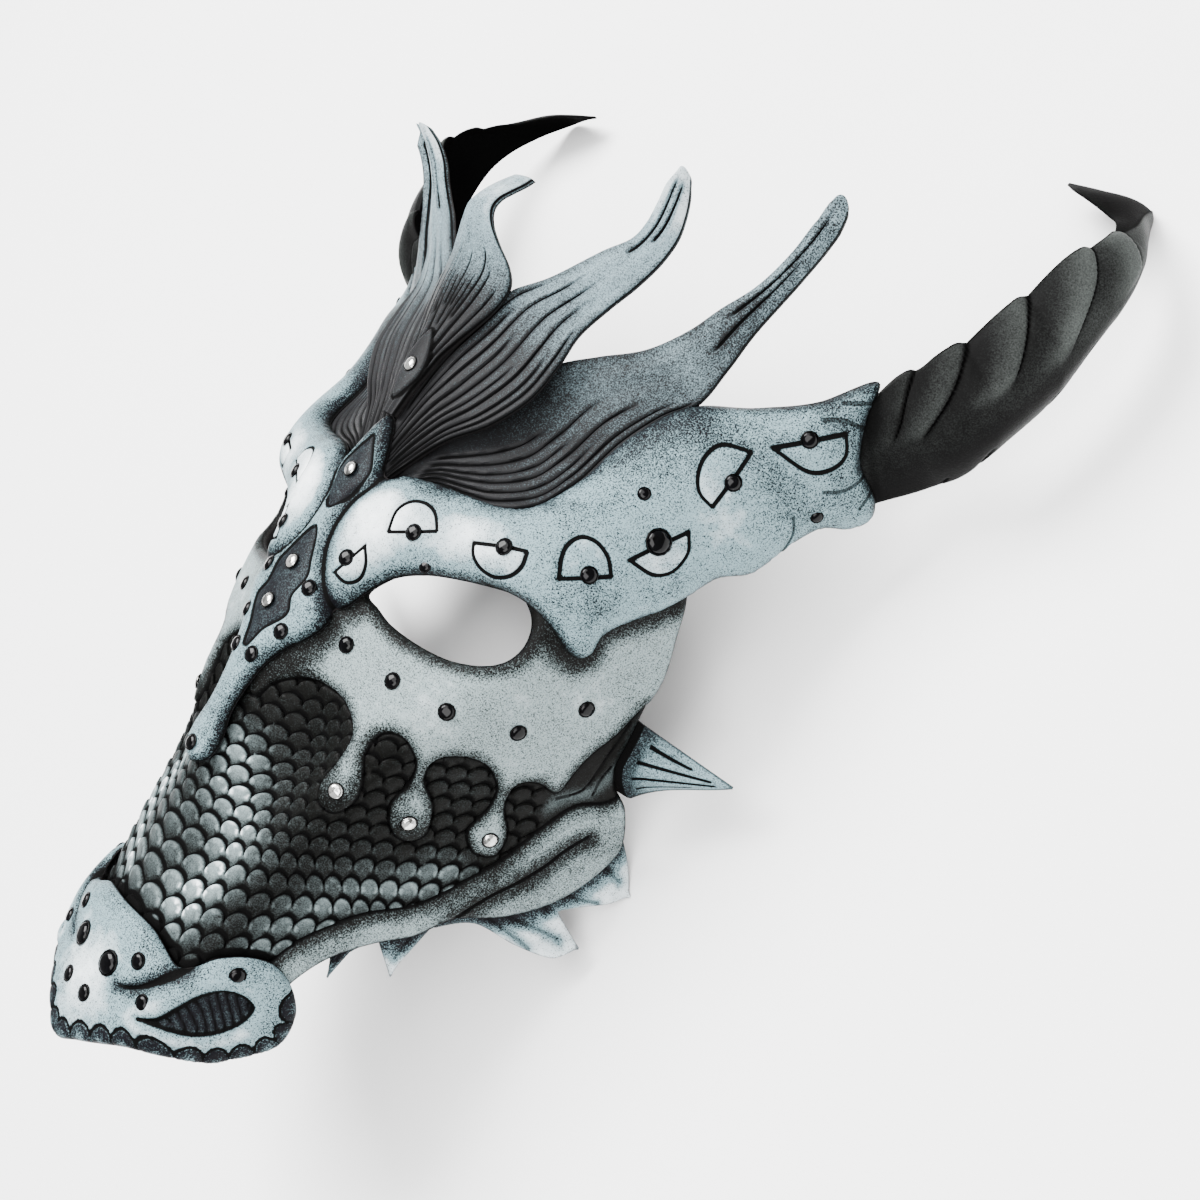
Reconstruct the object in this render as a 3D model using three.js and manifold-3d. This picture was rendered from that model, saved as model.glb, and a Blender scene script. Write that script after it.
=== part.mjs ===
// A leather dragon mask, lying on its rim with its face up. Millimetres, +Z up.
// X runs from the midline to the wearer's left, Y up the face from nose to horns.
import * as THREE from 'three';
import { mergeVertices } from 'three/addons/utils/BufferGeometryUtils.js';
import Module from 'manifold-3d';

const wasm = await Module();
wasm.setup();

// Driving sizes
const LEATHER = 3;
const THIN_LEATHER = 2.2;
const GAP = 0.35;
const LAYER_GAP = 0.6;
const GRID = { across: 10, along: 14 };
const MEDIUM_STONE = 2.35;
const LARGE_STONE = 3.55;
const SMALL_STONE = 1.8;
const SCALE_WIDTH = 16;
const SCALE_LENGTH = 12;
const DRIP_STEP = 0.8;
const SCALE_FLOOR = 0.9;
const REST_TILT = THREE.MathUtils.degToRad(-3.82);

// The form that the leather was moulded on, as cross-sections along the face:
// place along Y, height of the midline, width of the rounded crown, slope beside it in degrees,
// half width of the top, radius of the turn, slope of the side in degrees.
const FORM = [
  [-200, -19, 14, 16, 22, 12, 70],
  [-170, -16, 14, 18, 25, 12, 68],
  [-145, -14, 14, 18, 26, 12, 66],
  [-115, -10.5, 14, 18, 27, 14, 66],
  [-90, -7, 14, 20, 33, 16, 68],
  [-65, -5.5, 14, 22, 46, 16, 72],
  [-45, -5, 12, 21, 58, 16, 76],
  [-22, -5.5, 10, 20, 64, 16, 76],
  [5, -6, 12, 18, 60, 28, 74],
  [30, -5.5, 14, 26, 72, 30, 70],
  [55, -4.5, 16, 29, 84, 36, 68],
  [85, -3, 18, 29, 110, 30, 66],
  [120, -2, 18, 26, 120, 30, 64],
];
// The hollow on each side of the nose: depth, place across, place along, spread across and along
const NOSE_HOLLOW = { depth: 8, across: 26, along: -80, wide: 15, long: 27 };

function leather(colour, roughness = 0.5) {
  return new THREE.MeshStandardMaterial({ color: colour, roughness, metalness: 0 });
}
const silverLeather = leather(0xb4c2c9);
const scaledLeather = leather(0x3d4042);
const darkLeather = leather(0x2c2e2f, 0.45);
const blackStone = new THREE.MeshStandardMaterial({ color: 0x060607, roughness: 0.08, metalness: 0.1 });
const clearStone = new THREE.MeshStandardMaterial({ color: 0xf2f2ee, roughness: 0.05, metalness: 0.1 });

// A smooth curve through the rows of a table, the first column being the place along it
function tableAt(table, place) {
  const last = table.length - 1;
  let i = 0;
  while (i < last - 1 && place > table[i + 1][0]) i += 1;
  const slope = (k, c) => {
    const a = table[Math.max(k - 1, 0)];
    const b = table[Math.min(k + 1, last)];
    return (b[c] - a[c]) / (b[0] - a[0]);
  };
  const step = table[i + 1][0] - table[i][0];
  const t = THREE.MathUtils.clamp((place - table[i][0]) / step, 0, 1);
  const ease = t * t * (3 - 2 * t);
  const leave = t * (1 - t) * (1 - t) * step;
  const arrive = t * t * (t - 1) * step;
  return table[i].slice(1).map((value, k) => {
    const c = k + 1;
    return value * (1 - ease) + table[i + 1][c] * ease + leave * slope(i, c) + arrive * slope(i + 1, c);
  });
}

// The form's surface at a distance across the leather and a place along the face
function formSurface(across, along) {
  const [height, crown, topSlope, half, radius, sideSlope] = tableAt(FORM, along);
  const top = THREE.MathUtils.degToRad(topSlope);
  const side = THREE.MathUtils.degToRad(sideSlope);
  const u = Math.abs(across);
  const bend = top / crown;
  const onCrown = Math.min(u, crown);
  const onTop = THREE.MathUtils.clamp(u - crown, 0, half - crown);
  const onTurn = THREE.MathUtils.clamp(u - half, 0, radius * (side - top));
  const onSide = Math.max(u - half - radius * (side - top), 0);
  const turned = top + onTurn / radius;
  const x = Math.sin(bend * onCrown) / bend + onTop * Math.cos(top)
    + radius * (Math.sin(turned) - Math.sin(top)) + onSide * Math.cos(side);
  const fall = (1 - Math.cos(bend * onCrown)) / bend + onTop * Math.sin(top)
    + radius * (Math.cos(top) - Math.cos(turned)) + onSide * Math.sin(side);
  const { depth, across: ha, along: hl, wide, long } = NOSE_HOLLOW;
  const hollow = depth * Math.exp(-(((u - ha) / wide) ** 2) - ((along - hl) / long) ** 2);
  return new THREE.Vector3(Math.sign(across) * x, along, height - fall - hollow);
}

// A point that stands off the form by a height along the form's normal
function onForm(across, along, height = 0) {
  const reach = 0.5;
  const acrossWay = formSurface(across + reach, along).sub(formSurface(across - reach, along));
  const alongWay = formSurface(across, along + reach).sub(formSurface(across, along - reach));
  const normal = acrossWay.cross(alongWay).normalize();
  return formSurface(across, along).addScaledVector(normal, height);
}

// Flat patterns are cut on a very shallow bowl, so that the cuts keep every grid point
const bowl = (across, along) => 2e-4 * (across * across + along * along);

function toManifold(geometry) {
  const bare = geometry.clone();
  bare.deleteAttribute('normal');
  bare.deleteAttribute('uv');
  const merged = mergeVertices(bare, 1e-4);
  return new wasm.Manifold(new wasm.Mesh({
    numProp: 3,
    vertProperties: Float32Array.from(merged.attributes.position.array),
    triVerts: Uint32Array.from(merged.index.array),
  }));
}

function toGeometry(solid) {
  const mesh = solid.getMesh();
  const geometry = new THREE.BufferGeometry();
  const places = new Float32Array(mesh.numVert * 3);
  for (let i = 0; i < mesh.numVert; i += 1) {
    for (let k = 0; k < 3; k += 1) places[i * 3 + k] = mesh.vertProperties[i * mesh.numProp + k];
  }
  geometry.setAttribute('position', new THREE.BufferAttribute(places, 3));
  geometry.setIndex(Array.from(mesh.triVerts));
  return geometry;
}

function indexed(points, faces) {
  const geometry = new THREE.BufferGeometry();
  geometry.setAttribute('position', new THREE.Float32BufferAttribute(points.flat(), 3));
  geometry.setIndex(faces.flat());
  return geometry;
}

// Even steps from low to high, both ends included
function steps(low, high, size) {
  const count = Math.max(1, Math.round((high - low) / size));
  return Array.from({ length: count + 1 }, (_, i) => low + ((high - low) * i) / count);
}

// Grid lines at an even step on both sides of the midline
const gridLines = (count, size) => steps(-count * size, count * size, size);

// A flat slab with a fine grid on top and only some lines of it underneath
function slab(acrossLines, alongLines, top, bottom, every) {
  const pick = (lines, nth) => lines.map((_, i) => i).filter((i) => i % nth === 0 || i === lines.length - 1);
  const lowX = pick(acrossLines, every[0]);
  const lowY = pick(alongLines, every[1]);
  const points = [];
  const faces = [];
  const place = (i, j, height, shift = 0) => {
    const s = acrossLines[i];
    const y = alongLines[j] + shift;
    points.push([s, y, bowl(s, y) + height(s, y, i, j)]);
    return points.length - 1;
  };
  const shiftOf = (i, j) => (top.shift ? top.shift(i, j, acrossLines, alongLines) : 0);
  const topId = acrossLines.map((_, i) => alongLines.map((__, j) => place(i, j, top.height, shiftOf(i, j))));
  const lowId = new Map();
  for (const i of lowX) {
    for (const j of lowY) lowId.set(`${i},${j}`, place(i, j, bottom));
  }
  const low = (i, j) => lowId.get(`${i},${j}`);
  for (let i = 0; i + 1 < acrossLines.length; i += 1) {
    for (let j = 0; j + 1 < alongLines.length; j += 1) {
      const [a, b, c, d] = [topId[i][j], topId[i + 1][j], topId[i + 1][j + 1], topId[i][j + 1]];
      if ((i + j) % 2) faces.push([a, b, c], [a, c, d]);
      else faces.push([a, b, d], [b, c, d]);
    }
  }
  for (let p = 0; p + 1 < lowX.length; p += 1) {
    for (let q = 0; q + 1 < lowY.length; q += 1) {
      const [i, k, j, l] = [lowX[p], lowX[p + 1], lowY[q], lowY[q + 1]];
      faces.push([low(i, j), low(i, l), low(k, l)], [low(i, j), low(k, l), low(k, j)]);
    }
  }
  // Side walls: each coarse edge below is joined to the fine edge above it
  const wall = (pairs, flip) => {
    const tri = (a, b, c) => faces.push(flip ? [a, c, b] : [a, b, c]);
    for (const { fine, from, to } of pairs) {
      for (let k = 0; k + 1 < fine.length; k += 1) tri(from, fine[k + 1], fine[k]);
      tri(from, to, fine[fine.length - 1]);
    }
  };
  const lastX = acrossLines.length - 1;
  const lastY = alongLines.length - 1;
  const run = (list, topAt, lowAt) => list.slice(1).map((to, k) => {
    const from = list[k];
    const fine = Array.from({ length: to - from + 1 }, (_, m) => topAt(from + m));
    return { fine, from: lowAt(from), to: lowAt(to) };
  });
  wall(run(lowX, (i) => topId[i][0], (i) => low(i, 0)), false);
  wall(run(lowX, (i) => topId[i][lastY], (i) => low(i, lastY)), true);
  wall(run(lowY, (j) => topId[0][j], (j) => low(0, j)), true);
  wall(run(lowY, (j) => topId[lastX][j], (j) => low(lastX, j)), false);
  return toManifold(indexed(points, faces));
}

// The outline of a pattern, as straight runs between its points
function outlineShape(points) {
  return new THREE.Shape(points.map(([s, y]) => new THREE.Vector2(s, y)));
}

// An open smooth curve through points
const through = (points) => new THREE.CatmullRomCurve3(points, false, 'centripetal');

function prism(shape, low = -40, high = 60) {
  const geometry = new THREE.ExtrudeGeometry(shape, { depth: high - low, bevelEnabled: false, steps: 1 });
  geometry.translate(0, 0, low);
  return toManifold(geometry);
}

// Both halves of an outline that is drawn from the midline round to the midline
const mirrored = (half) => [...half, ...half.filter(([s]) => s > 0).reverse().map(([s, y]) => [-s, y])];
const flipped = (points) => points.map(([s, y]) => [-s, y]).reverse();

// Distance from a place to the nearest point of an outline
function edgeDistance(shape, s, y) {
  const points = shape.getPoints();
  let best = Infinity;
  points.forEach((a, i) => {
    const b = points[(i + 1) % points.length];
    const run = b.clone().sub(a);
    const t = THREE.MathUtils.clamp(((s - a.x) * run.x + (y - a.y) * run.y) / (run.lengthSq() || 1), 0, 1);
    best = Math.min(best, Math.hypot(s - a.x - t * run.x, y - a.y - t * run.y));
  });
  return best;
}

// Moves the points of a cut pattern onto the form, without any crumb that the cuts left over
function bend(cut) {
  const whole = cut.decompose().reduce((a, b) => (a.volume() > b.volume() ? a : b));
  const geometry = toGeometry(whole);
  const places = geometry.attributes.position;
  for (let i = 0; i < places.count; i += 1) {
    const s = places.getX(i);
    const y = places.getY(i);
    const p = onForm(s, y, places.getZ(i) - bowl(s, y));
    places.setXYZ(i, p.x, p.y, p.z);
  }
  return geometry;
}

// A closed sheet between two edges: surface(t, u) gives its face, under(t, u) its back
function sheet(rows, columns, surface, under) {
  const points = [];
  const faces = [];
  const id = (layer, i, j) => layer * (rows + 1) * (columns + 1) + i * (columns + 1) + j;
  for (const face of [surface, under]) {
    for (let i = 0; i <= rows; i += 1) {
      for (let j = 0; j <= columns; j += 1) points.push(face(i / rows, j / columns).toArray());
    }
  }
  for (let i = 0; i < rows; i += 1) {
    for (let j = 0; j < columns; j += 1) {
      const [a, b, c, d] = [id(0, i, j), id(0, i, j + 1), id(0, i + 1, j + 1), id(0, i + 1, j)];
      const [e, f, g, h] = [id(1, i, j), id(1, i, j + 1), id(1, i + 1, j + 1), id(1, i + 1, j)];
      faces.push([a, b, c], [a, c, d], [e, g, f], [e, h, g]);
    }
  }
  const rim = (i, j, k, l) => {
    faces.push([id(0, i, j), id(1, k, l), id(0, k, l)], [id(0, i, j), id(1, i, j), id(1, k, l)]);
  };
  for (let j = 0; j < columns; j += 1) {
    rim(0, j, 0, j + 1);
    rim(rows, j + 1, rows, j);
  }
  for (let i = 0; i < rows; i += 1) {
    rim(i + 1, 0, i, 0);
    rim(i, columns, i + 1, columns);
  }
  return indexed(points, faces);
}

function mirrorGeometry(geometry) {
  const copy = geometry.clone().scale(-1, 1, 1);
  copy.index.array.reverse();
  return copy;
}

const mask = new THREE.Group();
mask.rotation.x = REST_TILT;
function add(name, geometry, material) {
  const mesh = new THREE.Mesh(geometry, material);
  mesh.name = name;
  mask.add(mesh);
}
function addPair(name, geometry, material) {
  add(`${name}_left`, geometry, material);
  add(`${name}_right`, mirrorGeometry(geometry), material);
}

// Outlines on the flat pattern: distance across the leather from the midline, place along the face
const EYE_HOLE = [
  [23, -29], [28, -31], [34, -33], [46, -34], [58, -33], [66, -30], [71.5, -25], [73.5, -18.5],
  [71.5, -11.5], [65, -7], [56, -6.5], [46, -9.5], [35, -14], [28, -20.5],
];
const FACE_HALF = [
  [0, -5], [14, -6], [24, -2], [34, 1], [50, 2], [62, 7], [74, 14], [88, 20], [101, 22], [108, 15],
  [113, 5], [117, -6], [117.5, -16], [119, -28], [120, -36], [124, -41], [130, -45], [135, -55],
  [132, -65], [123, -79], [110, -90], [93, -99], [85, -108], [75, -115], [64, -125], [57, -136],
  [53, -148], [42, -154], [22, -156], [0, -156],
];
// The smooth cheek ends in three hanging drops, and scales fill the space between and below them
const SCALED_HALF = [
  [0, -66], [6, -71], [10, -64], [18, -58], [28, -57], [36, -59.5], [41.5, -65], [41, -74],
  [39, -80], [40, -85], [45, -86.5], [50, -82], [50.5, -75], [48, -67], [50, -60], [56, -57.5],
  [61.5, -61], [63, -68], [61, -76], [65, -83], [71, -83.5], [74.5, -79], [72.5, -71], [66, -65],
  [66, -59], [71, -54.5], [81, -52.5], [88, -57], [88.5, -64], [86, -73], [91, -77.5], [97.5, -75],
  [97.5, -68], [92.5, -61], [93, -53.5], [103, -50], [108, -45], [111, -42], [115, -49], [110, -55],
  [105, -65], [99, -77], [91, -89], [79, -102], [68, -109], [59, -118], [52, -127], [48, -136],
  [44, -146], [30, -149], [0, -149],
];
const BROW_HALF = [
  [0, 19], [3, 14.5], [6, 9], [8.5, 3.5], [11, 3], [16, 6], [26, 8], [38, 9], [47, 10], [54, 12], [58.5, 16],
  [62, 24], [67, 43], [74, 56], [81, 63], [96, 70], [110, 79.5], [122, 92], [123, 82], [127, 74], [138, 68],
  [139.5, 64], [135, 58], [128, 54], [124, 48.5], [120, 39], [117, 32], [109, 25], [106, 18],
  [102, 10], [96, 3], [90, -5.5], [90, -11], [87.5, -14], [83, -14], [77, -11], [71, -9], [65, -8.5],
  [57, -10], [46, -13], [38, -16], [30, -21], [24, -29], [21, -35], [17.5, -38], [18, -41], [16, -46],
  [11, -52.5], [6.5, -61], [4.5, -70], [4, -78], [5.5, -87], [4.5, -93], [0, -96],
];
const NOSE_CAP_HALF = [
  [0, -141.5], [14, -142], [27, -146], [30, -144], [35, -137.5], [42, -134], [49, -133], [56, -136],
  [61, -142], [62, -148], [61, -153], [57, -157.5], [51, -162], [45, -166], [33, -169.5], [21, -175],
  [9, -181], [0, -185],
];
const NOSTRIL = [
  [25, -163.5], [29, -158], [32, -151], [36, -146], [42, -143], [47, -143.5], [49.5, -146], [48.5, -151],
  [44, -156], [37, -160], [31, -162.5],
];
const LENSES = [
  [[0, 12], [3, 7.5], [5.5, 1.5], [4, -5], [0, -12]],
  [[0, -20], [4, -27], [6, -34], [6, -40], [6.5, -45], [3, -52], [0, -59]],
];
const FRILL = [
  [118, -60], [124, -50], [133, -51], [138, -56], [143, -62], [147, -68], [140, -74], [126, -83],
  [135, -88.5], [128, -95], [117, -98], [102, -98], [90, -105], [84, -123], [76, -115], [70, -122],
  [67, -132], [65, -121], [78, -104], [92, -92], [108, -82], [118, -70],
];

const CLEAR_ON_FACE = [[45, -80], [68, -78], [93, -71.5]];
const BLACK_ON_CHEEK = [[26, -44], [46, -46], [64, -45], [84, -40], [99, -25]];
const BLACK_ON_BROW = [
  [16, -23, MEDIUM_STONE], [32, -7, MEDIUM_STONE], [39, -13.5, SMALL_STONE], [60, 1, MEDIUM_STONE],
  [78, 6, MEDIUM_STONE], [87, 23, LARGE_STONE], [80, 32, SMALL_STONE], [97, 50, MEDIUM_STONE],
  [111, 71.5, MEDIUM_STONE], [122, 57, SMALL_STONE],
];
const CLEAR_ON_MIDLINE = [[0, -32], [0, -45], [0, 0]];
const BLACK_ON_TAB = [0, -91];
const BLACK_ON_NOSE = [[8, -157, LARGE_STONE], [17, -150.5, MEDIUM_STONE], [40, -139, MEDIUM_STONE]];

// The two side spikes of the crest: inner and outer edge, each point with its height off the form
const INNER_SPIKE = {
  inner: [
    [1, 6, 0.8], [1, 20, 0.8], [2, 34, 0.5], [4, 46, 0], [8, 57, -0.5], [13, 68, 0], [23.8, 76.5, 3.8],
    [36.7, 89.3, 8.7], [43.7, 95.4, 11.4], [46.4, 100, 14], [48.1, 106, 17.4], [49.8, 110.7, 21.6],
    [52.8, 113.8, 25.4],
  ],
  outer: [
    [7, -1, 0.8], [12, 8, 1], [20.5, 20, 3], [31, 29, 6.5], [39.1, 41.4, 9.5], [41.1, 54.1, 8.8],
    [41.5, 64.7, 7.3], [45.9, 75, 8.1], [51.5, 84, 10.9], [55.6, 92.5, 13.3], [57.9, 100, 16],
    [58.4, 106, 19.6], [58.3, 110, 22.8], [57.6, 112.7, 25.2],
  ],
};
const OUTER_SPIKE = {
  inner: [
    [5, 8, -3], [10, 14, -3], [15, 20, -3], [20, 27, -3], [25, 34, -3], [29, 42, -3], [33, 50, -2],
    [37.3, 56, -0.3], [47.7, 62.9, 1.7], [60.3, 70.3, 4.8], [69.8, 80.1, 7.5], [76, 89, 10.2],
    [83, 98.6, 12.3], [88.6, 110, 15.2], [92.4, 118.5, 19.8], [94.8, 121.2, 22.6],
  ],
  outer: [
    [10, -1, -3], [18, 5, 0], [26, 9.2, 2.5], [37.8, 10.4, 3.5], [46.8, 11.4, 3.5], [57, 17, 3.5],
    [60.5, 25, 3.5], [65.5, 44, 3.5], [73, 57.5, 3.8], [80.6, 64.5, 4.3], [84.4, 75.6, 5.3],
    [87.4, 87.6, 8.2], [93.5, 104, 12.4], [98.2, 115.3, 17], [100.1, 119.9, 20.6], [99.6, 121, 22.4],
  ],
};
// The curled tongue in the middle of the crest: place along, half width, height of its face off the form
const TONGUE = [
  [20, 2.4, 7], [30, 3.6, 7.1], [36, 4.9, 7.1], [42, 6.2, 7.1], [48, 8.5, 7.1], [54, 11.1, 7.1],
  [60, 13.4, 7.1], [66, 14.6, 7.1], [70, 14.2, 7.2], [74, 11.9, 8.3], [78, 8.2, 10.9], [82, 5.5, 13.3],
  [86, 4.3, 14.6], [90, 3.9, 13.5], [94, 4.3, 11.2], [98, 4.5, 8.4], [101, 4, 6.2],
];

// Horn stations: front edge, back edge and how far the face bulges out between them
const HORN_FOOT = [
  { front: onForm(117, 74, 2.6), back: onForm(133, 57, 2.6), bulge: 1.5 },
  { front: onForm(121, 83, 2.3), back: onForm(138, 65, 2.6), bulge: 2.5 },
];
const HORN = [
  ...HORN_FOOT,
  { front: new THREE.Vector3(117.2, 91.8, -52.6), back: new THREE.Vector3(122, 74, -83), bulge: 6 },
  { front: new THREE.Vector3(127, 98.5, -50), back: new THREE.Vector3(131, 80.5, -83), bulge: 9 },
  { front: new THREE.Vector3(135, 111, -51.5), back: new THREE.Vector3(139, 95, -82.5), bulge: 10 },
  { front: new THREE.Vector3(140, 126, -54.5), back: new THREE.Vector3(145.5, 110, -82), bulge: 10 },
  { front: new THREE.Vector3(147, 139, -55), back: new THREE.Vector3(148.5, 126, -80.5), bulge: 8.5 },
  { front: new THREE.Vector3(148.5, 149, -62), back: new THREE.Vector3(149.3, 140.5, -81.8), bulge: 6 },
  { front: new THREE.Vector3(143.5, 158, -69.5), back: new THREE.Vector3(147, 153, -84.3), bulge: 4.5 },
  { front: new THREE.Vector3(136.5, 162.5, -72.8), back: new THREE.Vector3(141.5, 167, -89.5), bulge: 3.5 },
  { front: new THREE.Vector3(128, 166.5, -74), back: new THREE.Vector3(133.5, 179, -95.3), bulge: 2.5 },
  { front: new THREE.Vector3(119, 170.5, -76), back: new THREE.Vector3(122, 179.8, -91.5), bulge: 1 },
  { front: new THREE.Vector3(110, 176.5, -83.7), back: new THREE.Vector3(109.5, 177.8, -85.8), bulge: 0.4 },
];

const faceShape = outlineShape(mirrored(FACE_HALF));
const browShape = outlineShape(mirrored(BROW_HALF));
const capShape = outlineShape(mirrored(NOSE_CAP_HALF));
const scaledShape = outlineShape(mirrored(SCALED_HALF));
const nostrilShapes = [outlineShape(NOSTRIL), outlineShape(flipped(NOSTRIL))];
const eyeShapes = [outlineShape(EYE_HOLE), outlineShape(flipped(EYE_HOLE))];
const lensShapes = LENSES.map((half) => outlineShape(mirrored(half)));

// Rows of scales like roof tiles: a tip row stands high, the valley row just past it lies low,
// and both rows zigzag so that the tips of one row fall between those of the next
const SCALE_LIP = { high: 1.2, low: 0.5, fall: 1 };
const SCALE_ROOT = 0.4;
const SCALE_ROUNDING = 0.45 * SCALE_LENGTH;
function scaleRows(low, high) {
  const rows = [];
  for (let y = low; y < high; y += SCALE_LENGTH) rows.push(y, y + SCALE_LIP.fall);
  return rows;
}
const isScaleTip = (i, j) => (i + Math.floor(j / 2)) % 2 === 0;
const scaleRelief = {
  shift: (i, j) => (isScaleTip(i, j) ? 0 : -SCALE_ROUNDING),
  height: (s, y, i, j) => {
    const lip = isScaleTip(i, j) ? SCALE_LIP.high : SCALE_LIP.low;
    return LEATHER - DRIP_STEP - SCALE_LIP.high + (j % 2 ? 0 : lip);
  },
};

function faceShell() {
  const flat = { height: () => LEATHER };
  const across = gridLines(15, GRID.across);
  const along = steps(-12 * GRID.along, 2 * GRID.along, GRID.along);
  const body = slab(across, along, flat, () => 0, [1, 1]);
  const wellAbove = { height: () => 10 * LEATHER };
  const above = slab(across, along, wellAbove, () => SCALE_FLOOR, [1, 1]);
  const root = () => SCALE_FLOOR - SCALE_ROOT;
  const scales = slab(gridLines(16, SCALE_WIDTH / 2), scaleRows(-160, -34), scaleRelief, root, [3, 3]);
  const holes = eyeShapes.map((shape) => prism(shape));
  let solid = body.subtract(above.intersect(prism(scaledShape))).add(scales).intersect(prism(faceShape));
  for (const hole of holes) solid = solid.subtract(hole);
  return bend(solid);
}

// The brow swells up from its edge like a cushion and stays flat along the bridge
const UPPER_BASE = LEATHER + LAYER_GAP;
const UPPER_THICKNESS = 2.6;
const BROW_PUFF = 4;
const BROW_ROLL = 10;
const CAP_PUFF = 1.5;
const CAP_ROLL = 8;
const LENS_DEPTH = 0.8;
const NOSTRIL_DEPTH = 1.4;
const puffAt = (shape, s, y, puff, roll) => {
  const t = Math.min(edgeDistance(shape, s, y) / roll, 1);
  const beside = THREE.MathUtils.smoothstep(Math.abs(s), 6, 20);
  return puff * (0.3 + 0.7 * beside) * (1 - (1 - t) ** 2);
};

// An upper layer's grid below is the face's own, so that the two layers stay parallel
function cushion(shape, lines, puff, roll) {
  const under = (s, y) => UPPER_BASE + puffAt(shape, s, y, puff, roll);
  const height = (s, y) => under(s, y) + UPPER_THICKNESS;
  return slab(lines.across, lines.along, { height }, under, [1, 2]);
}

function sunk(solid, shapes, depth) {
  let result = solid;
  for (const shape of shapes) {
    const cut = prism(shape);
    result = result.subtract(cut).add(solid.intersect(cut).translate(0, 0, -depth));
  }
  return result;
}

function browPlate() {
  const lines = {
    across: gridLines(15, GRID.across),
    along: steps(-8 * GRID.along, 7 * GRID.along, GRID.along / 2),
  };
  const solid = cushion(browShape, lines, BROW_PUFF, BROW_ROLL).intersect(prism(browShape));
  return bend(sunk(solid, lensShapes, LENS_DEPTH));
}

function noseCap() {
  const lines = {
    across: gridLines(7, GRID.across),
    along: steps(-14 * GRID.along, -9 * GRID.along, GRID.along / 2),
  };
  const solid = cushion(capShape, lines, CAP_PUFF, CAP_ROLL).intersect(prism(capShape));
  return bend(sunk(solid, nostrilShapes, NOSTRIL_DEPTH));
}

// Flutes run along the crest like locks of hair and fade out towards the tips
const LOCKS = 3;
const FLUTE = 0.4;
const SPIKE_CAMBER = 1.6;
const lockAt = (t, u) => FLUTE * Math.cos(2 * Math.PI * LOCKS * u) * (1 - t);

// Curves through the edge points of a spike
function spike({ inner, outer }, rows) {
  const curve = (points) => through(points.map((p) => new THREE.Vector3(...p)));
  const ends = [curve(inner), curve(outer)];
  const face = (t, u, lift) => {
    const p = ends[0].getPoint(t).lerp(ends[1].getPoint(t), u);
    const camber = SPIKE_CAMBER * Math.sin(Math.PI * u) * THREE.MathUtils.smoothstep(t, 0.35, 0.75);
    return onForm(p.x, p.y, p.z + lift + camber);
  };
  return sheet(rows, LOCKS * 2, (t, u) => face(t, u, THIN_LEATHER + lockAt(t, u)), (t, u) => face(t, u, 0));
}

// The tongue droops to both sides of its middle, and less where it is narrow
const TONGUE_DROOP = 1.1;
function tongue() {
  const first = TONGUE[0][0];
  const last = TONGUE.at(-1)[0];
  const face = (t, u, depth) => {
    const along = THREE.MathUtils.lerp(first, last, t);
    const [half, height] = tableAt(TONGUE, along);
    const across = (u - 0.5) * 2;
    const droop = TONGUE_DROOP * across * across * Math.min(1, half / 8);
    return onForm(across * half, along, height - droop - depth);
  };
  return sheet(14, LOCKS * 2, (t, u) => face(t, u, -lockAt(t, u)), (t, u) => face(t, u, THIN_LEATHER));
}

// A horn is a sheet that bulges outwards between its two edges and curls in at the tip
const HORN_TIP_THICKNESS = 1.6;
function horn() {
  const front = through(HORN.map((h) => h.front));
  const back = through(HORN.map((h) => h.back));
  const bulges = HORN.map((h, i) => [i / (HORN.length - 1), h.bulge]);
  const reach = 0.01;
  const face = (t, u, depth) => {
    const a = front.getPoint(t);
    const b = back.getPoint(t);
    const next = Math.min(t + reach, 1);
    const last = Math.max(t - reach, 0);
    const ahead = front.getPoint(next).add(back.getPoint(next));
    const behind = front.getPoint(last).add(back.getPoint(last));
    const out = ahead.sub(behind).cross(a.clone().sub(b)).normalize();
    const [bulge] = tableAt(bulges, t);
    const arch = 1 - (2 * u - 1) ** 2;
    return a.lerp(b, u).addScaledVector(out, bulge * arch - depth);
  };
  const thick = (t) => THREE.MathUtils.lerp(LEATHER, HORN_TIP_THICKNESS, t);
  return sheet(16, 5, (t, u) => face(t, u, 0), (t, u) => face(t, u, thick(t)));
}

// The frill under the jaw lies against the inside of the face and turns up past the jaw's edge:
// how far past the edge the turn starts, how sharply it turns, and the line of the jaw that it starts from
const FLARE = { start: 8, turn: 0.12, across: 135, along: -55, slope: 0.95 };
function frill() {
  const jawEdge = outlineShape(FACE_HALF);
  const flare = (s, y) => {
    const outside = s > FLARE.across + FLARE.slope * Math.min(0, y - FLARE.along);
    const past = Math.max(edgeDistance(jawEdge, s, y) - FLARE.start, 0);
    return outside ? FLARE.turn * past * past : 0;
  };
  const base = -THIN_LEATHER - LAYER_GAP - GAP;
  const height = (s, y) => base + THIN_LEATHER + flare(s, y);
  const across = steps(5 * GRID.across, 16 * GRID.across, GRID.across);
  const along = steps(-10 * GRID.along, -3 * GRID.along, GRID.along);
  const solid = slab(across, along, { height }, (s, y) => base + flare(s, y), [1, 1]);
  return bend(solid.intersect(prism(outlineShape(FRILL))));
}

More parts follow.
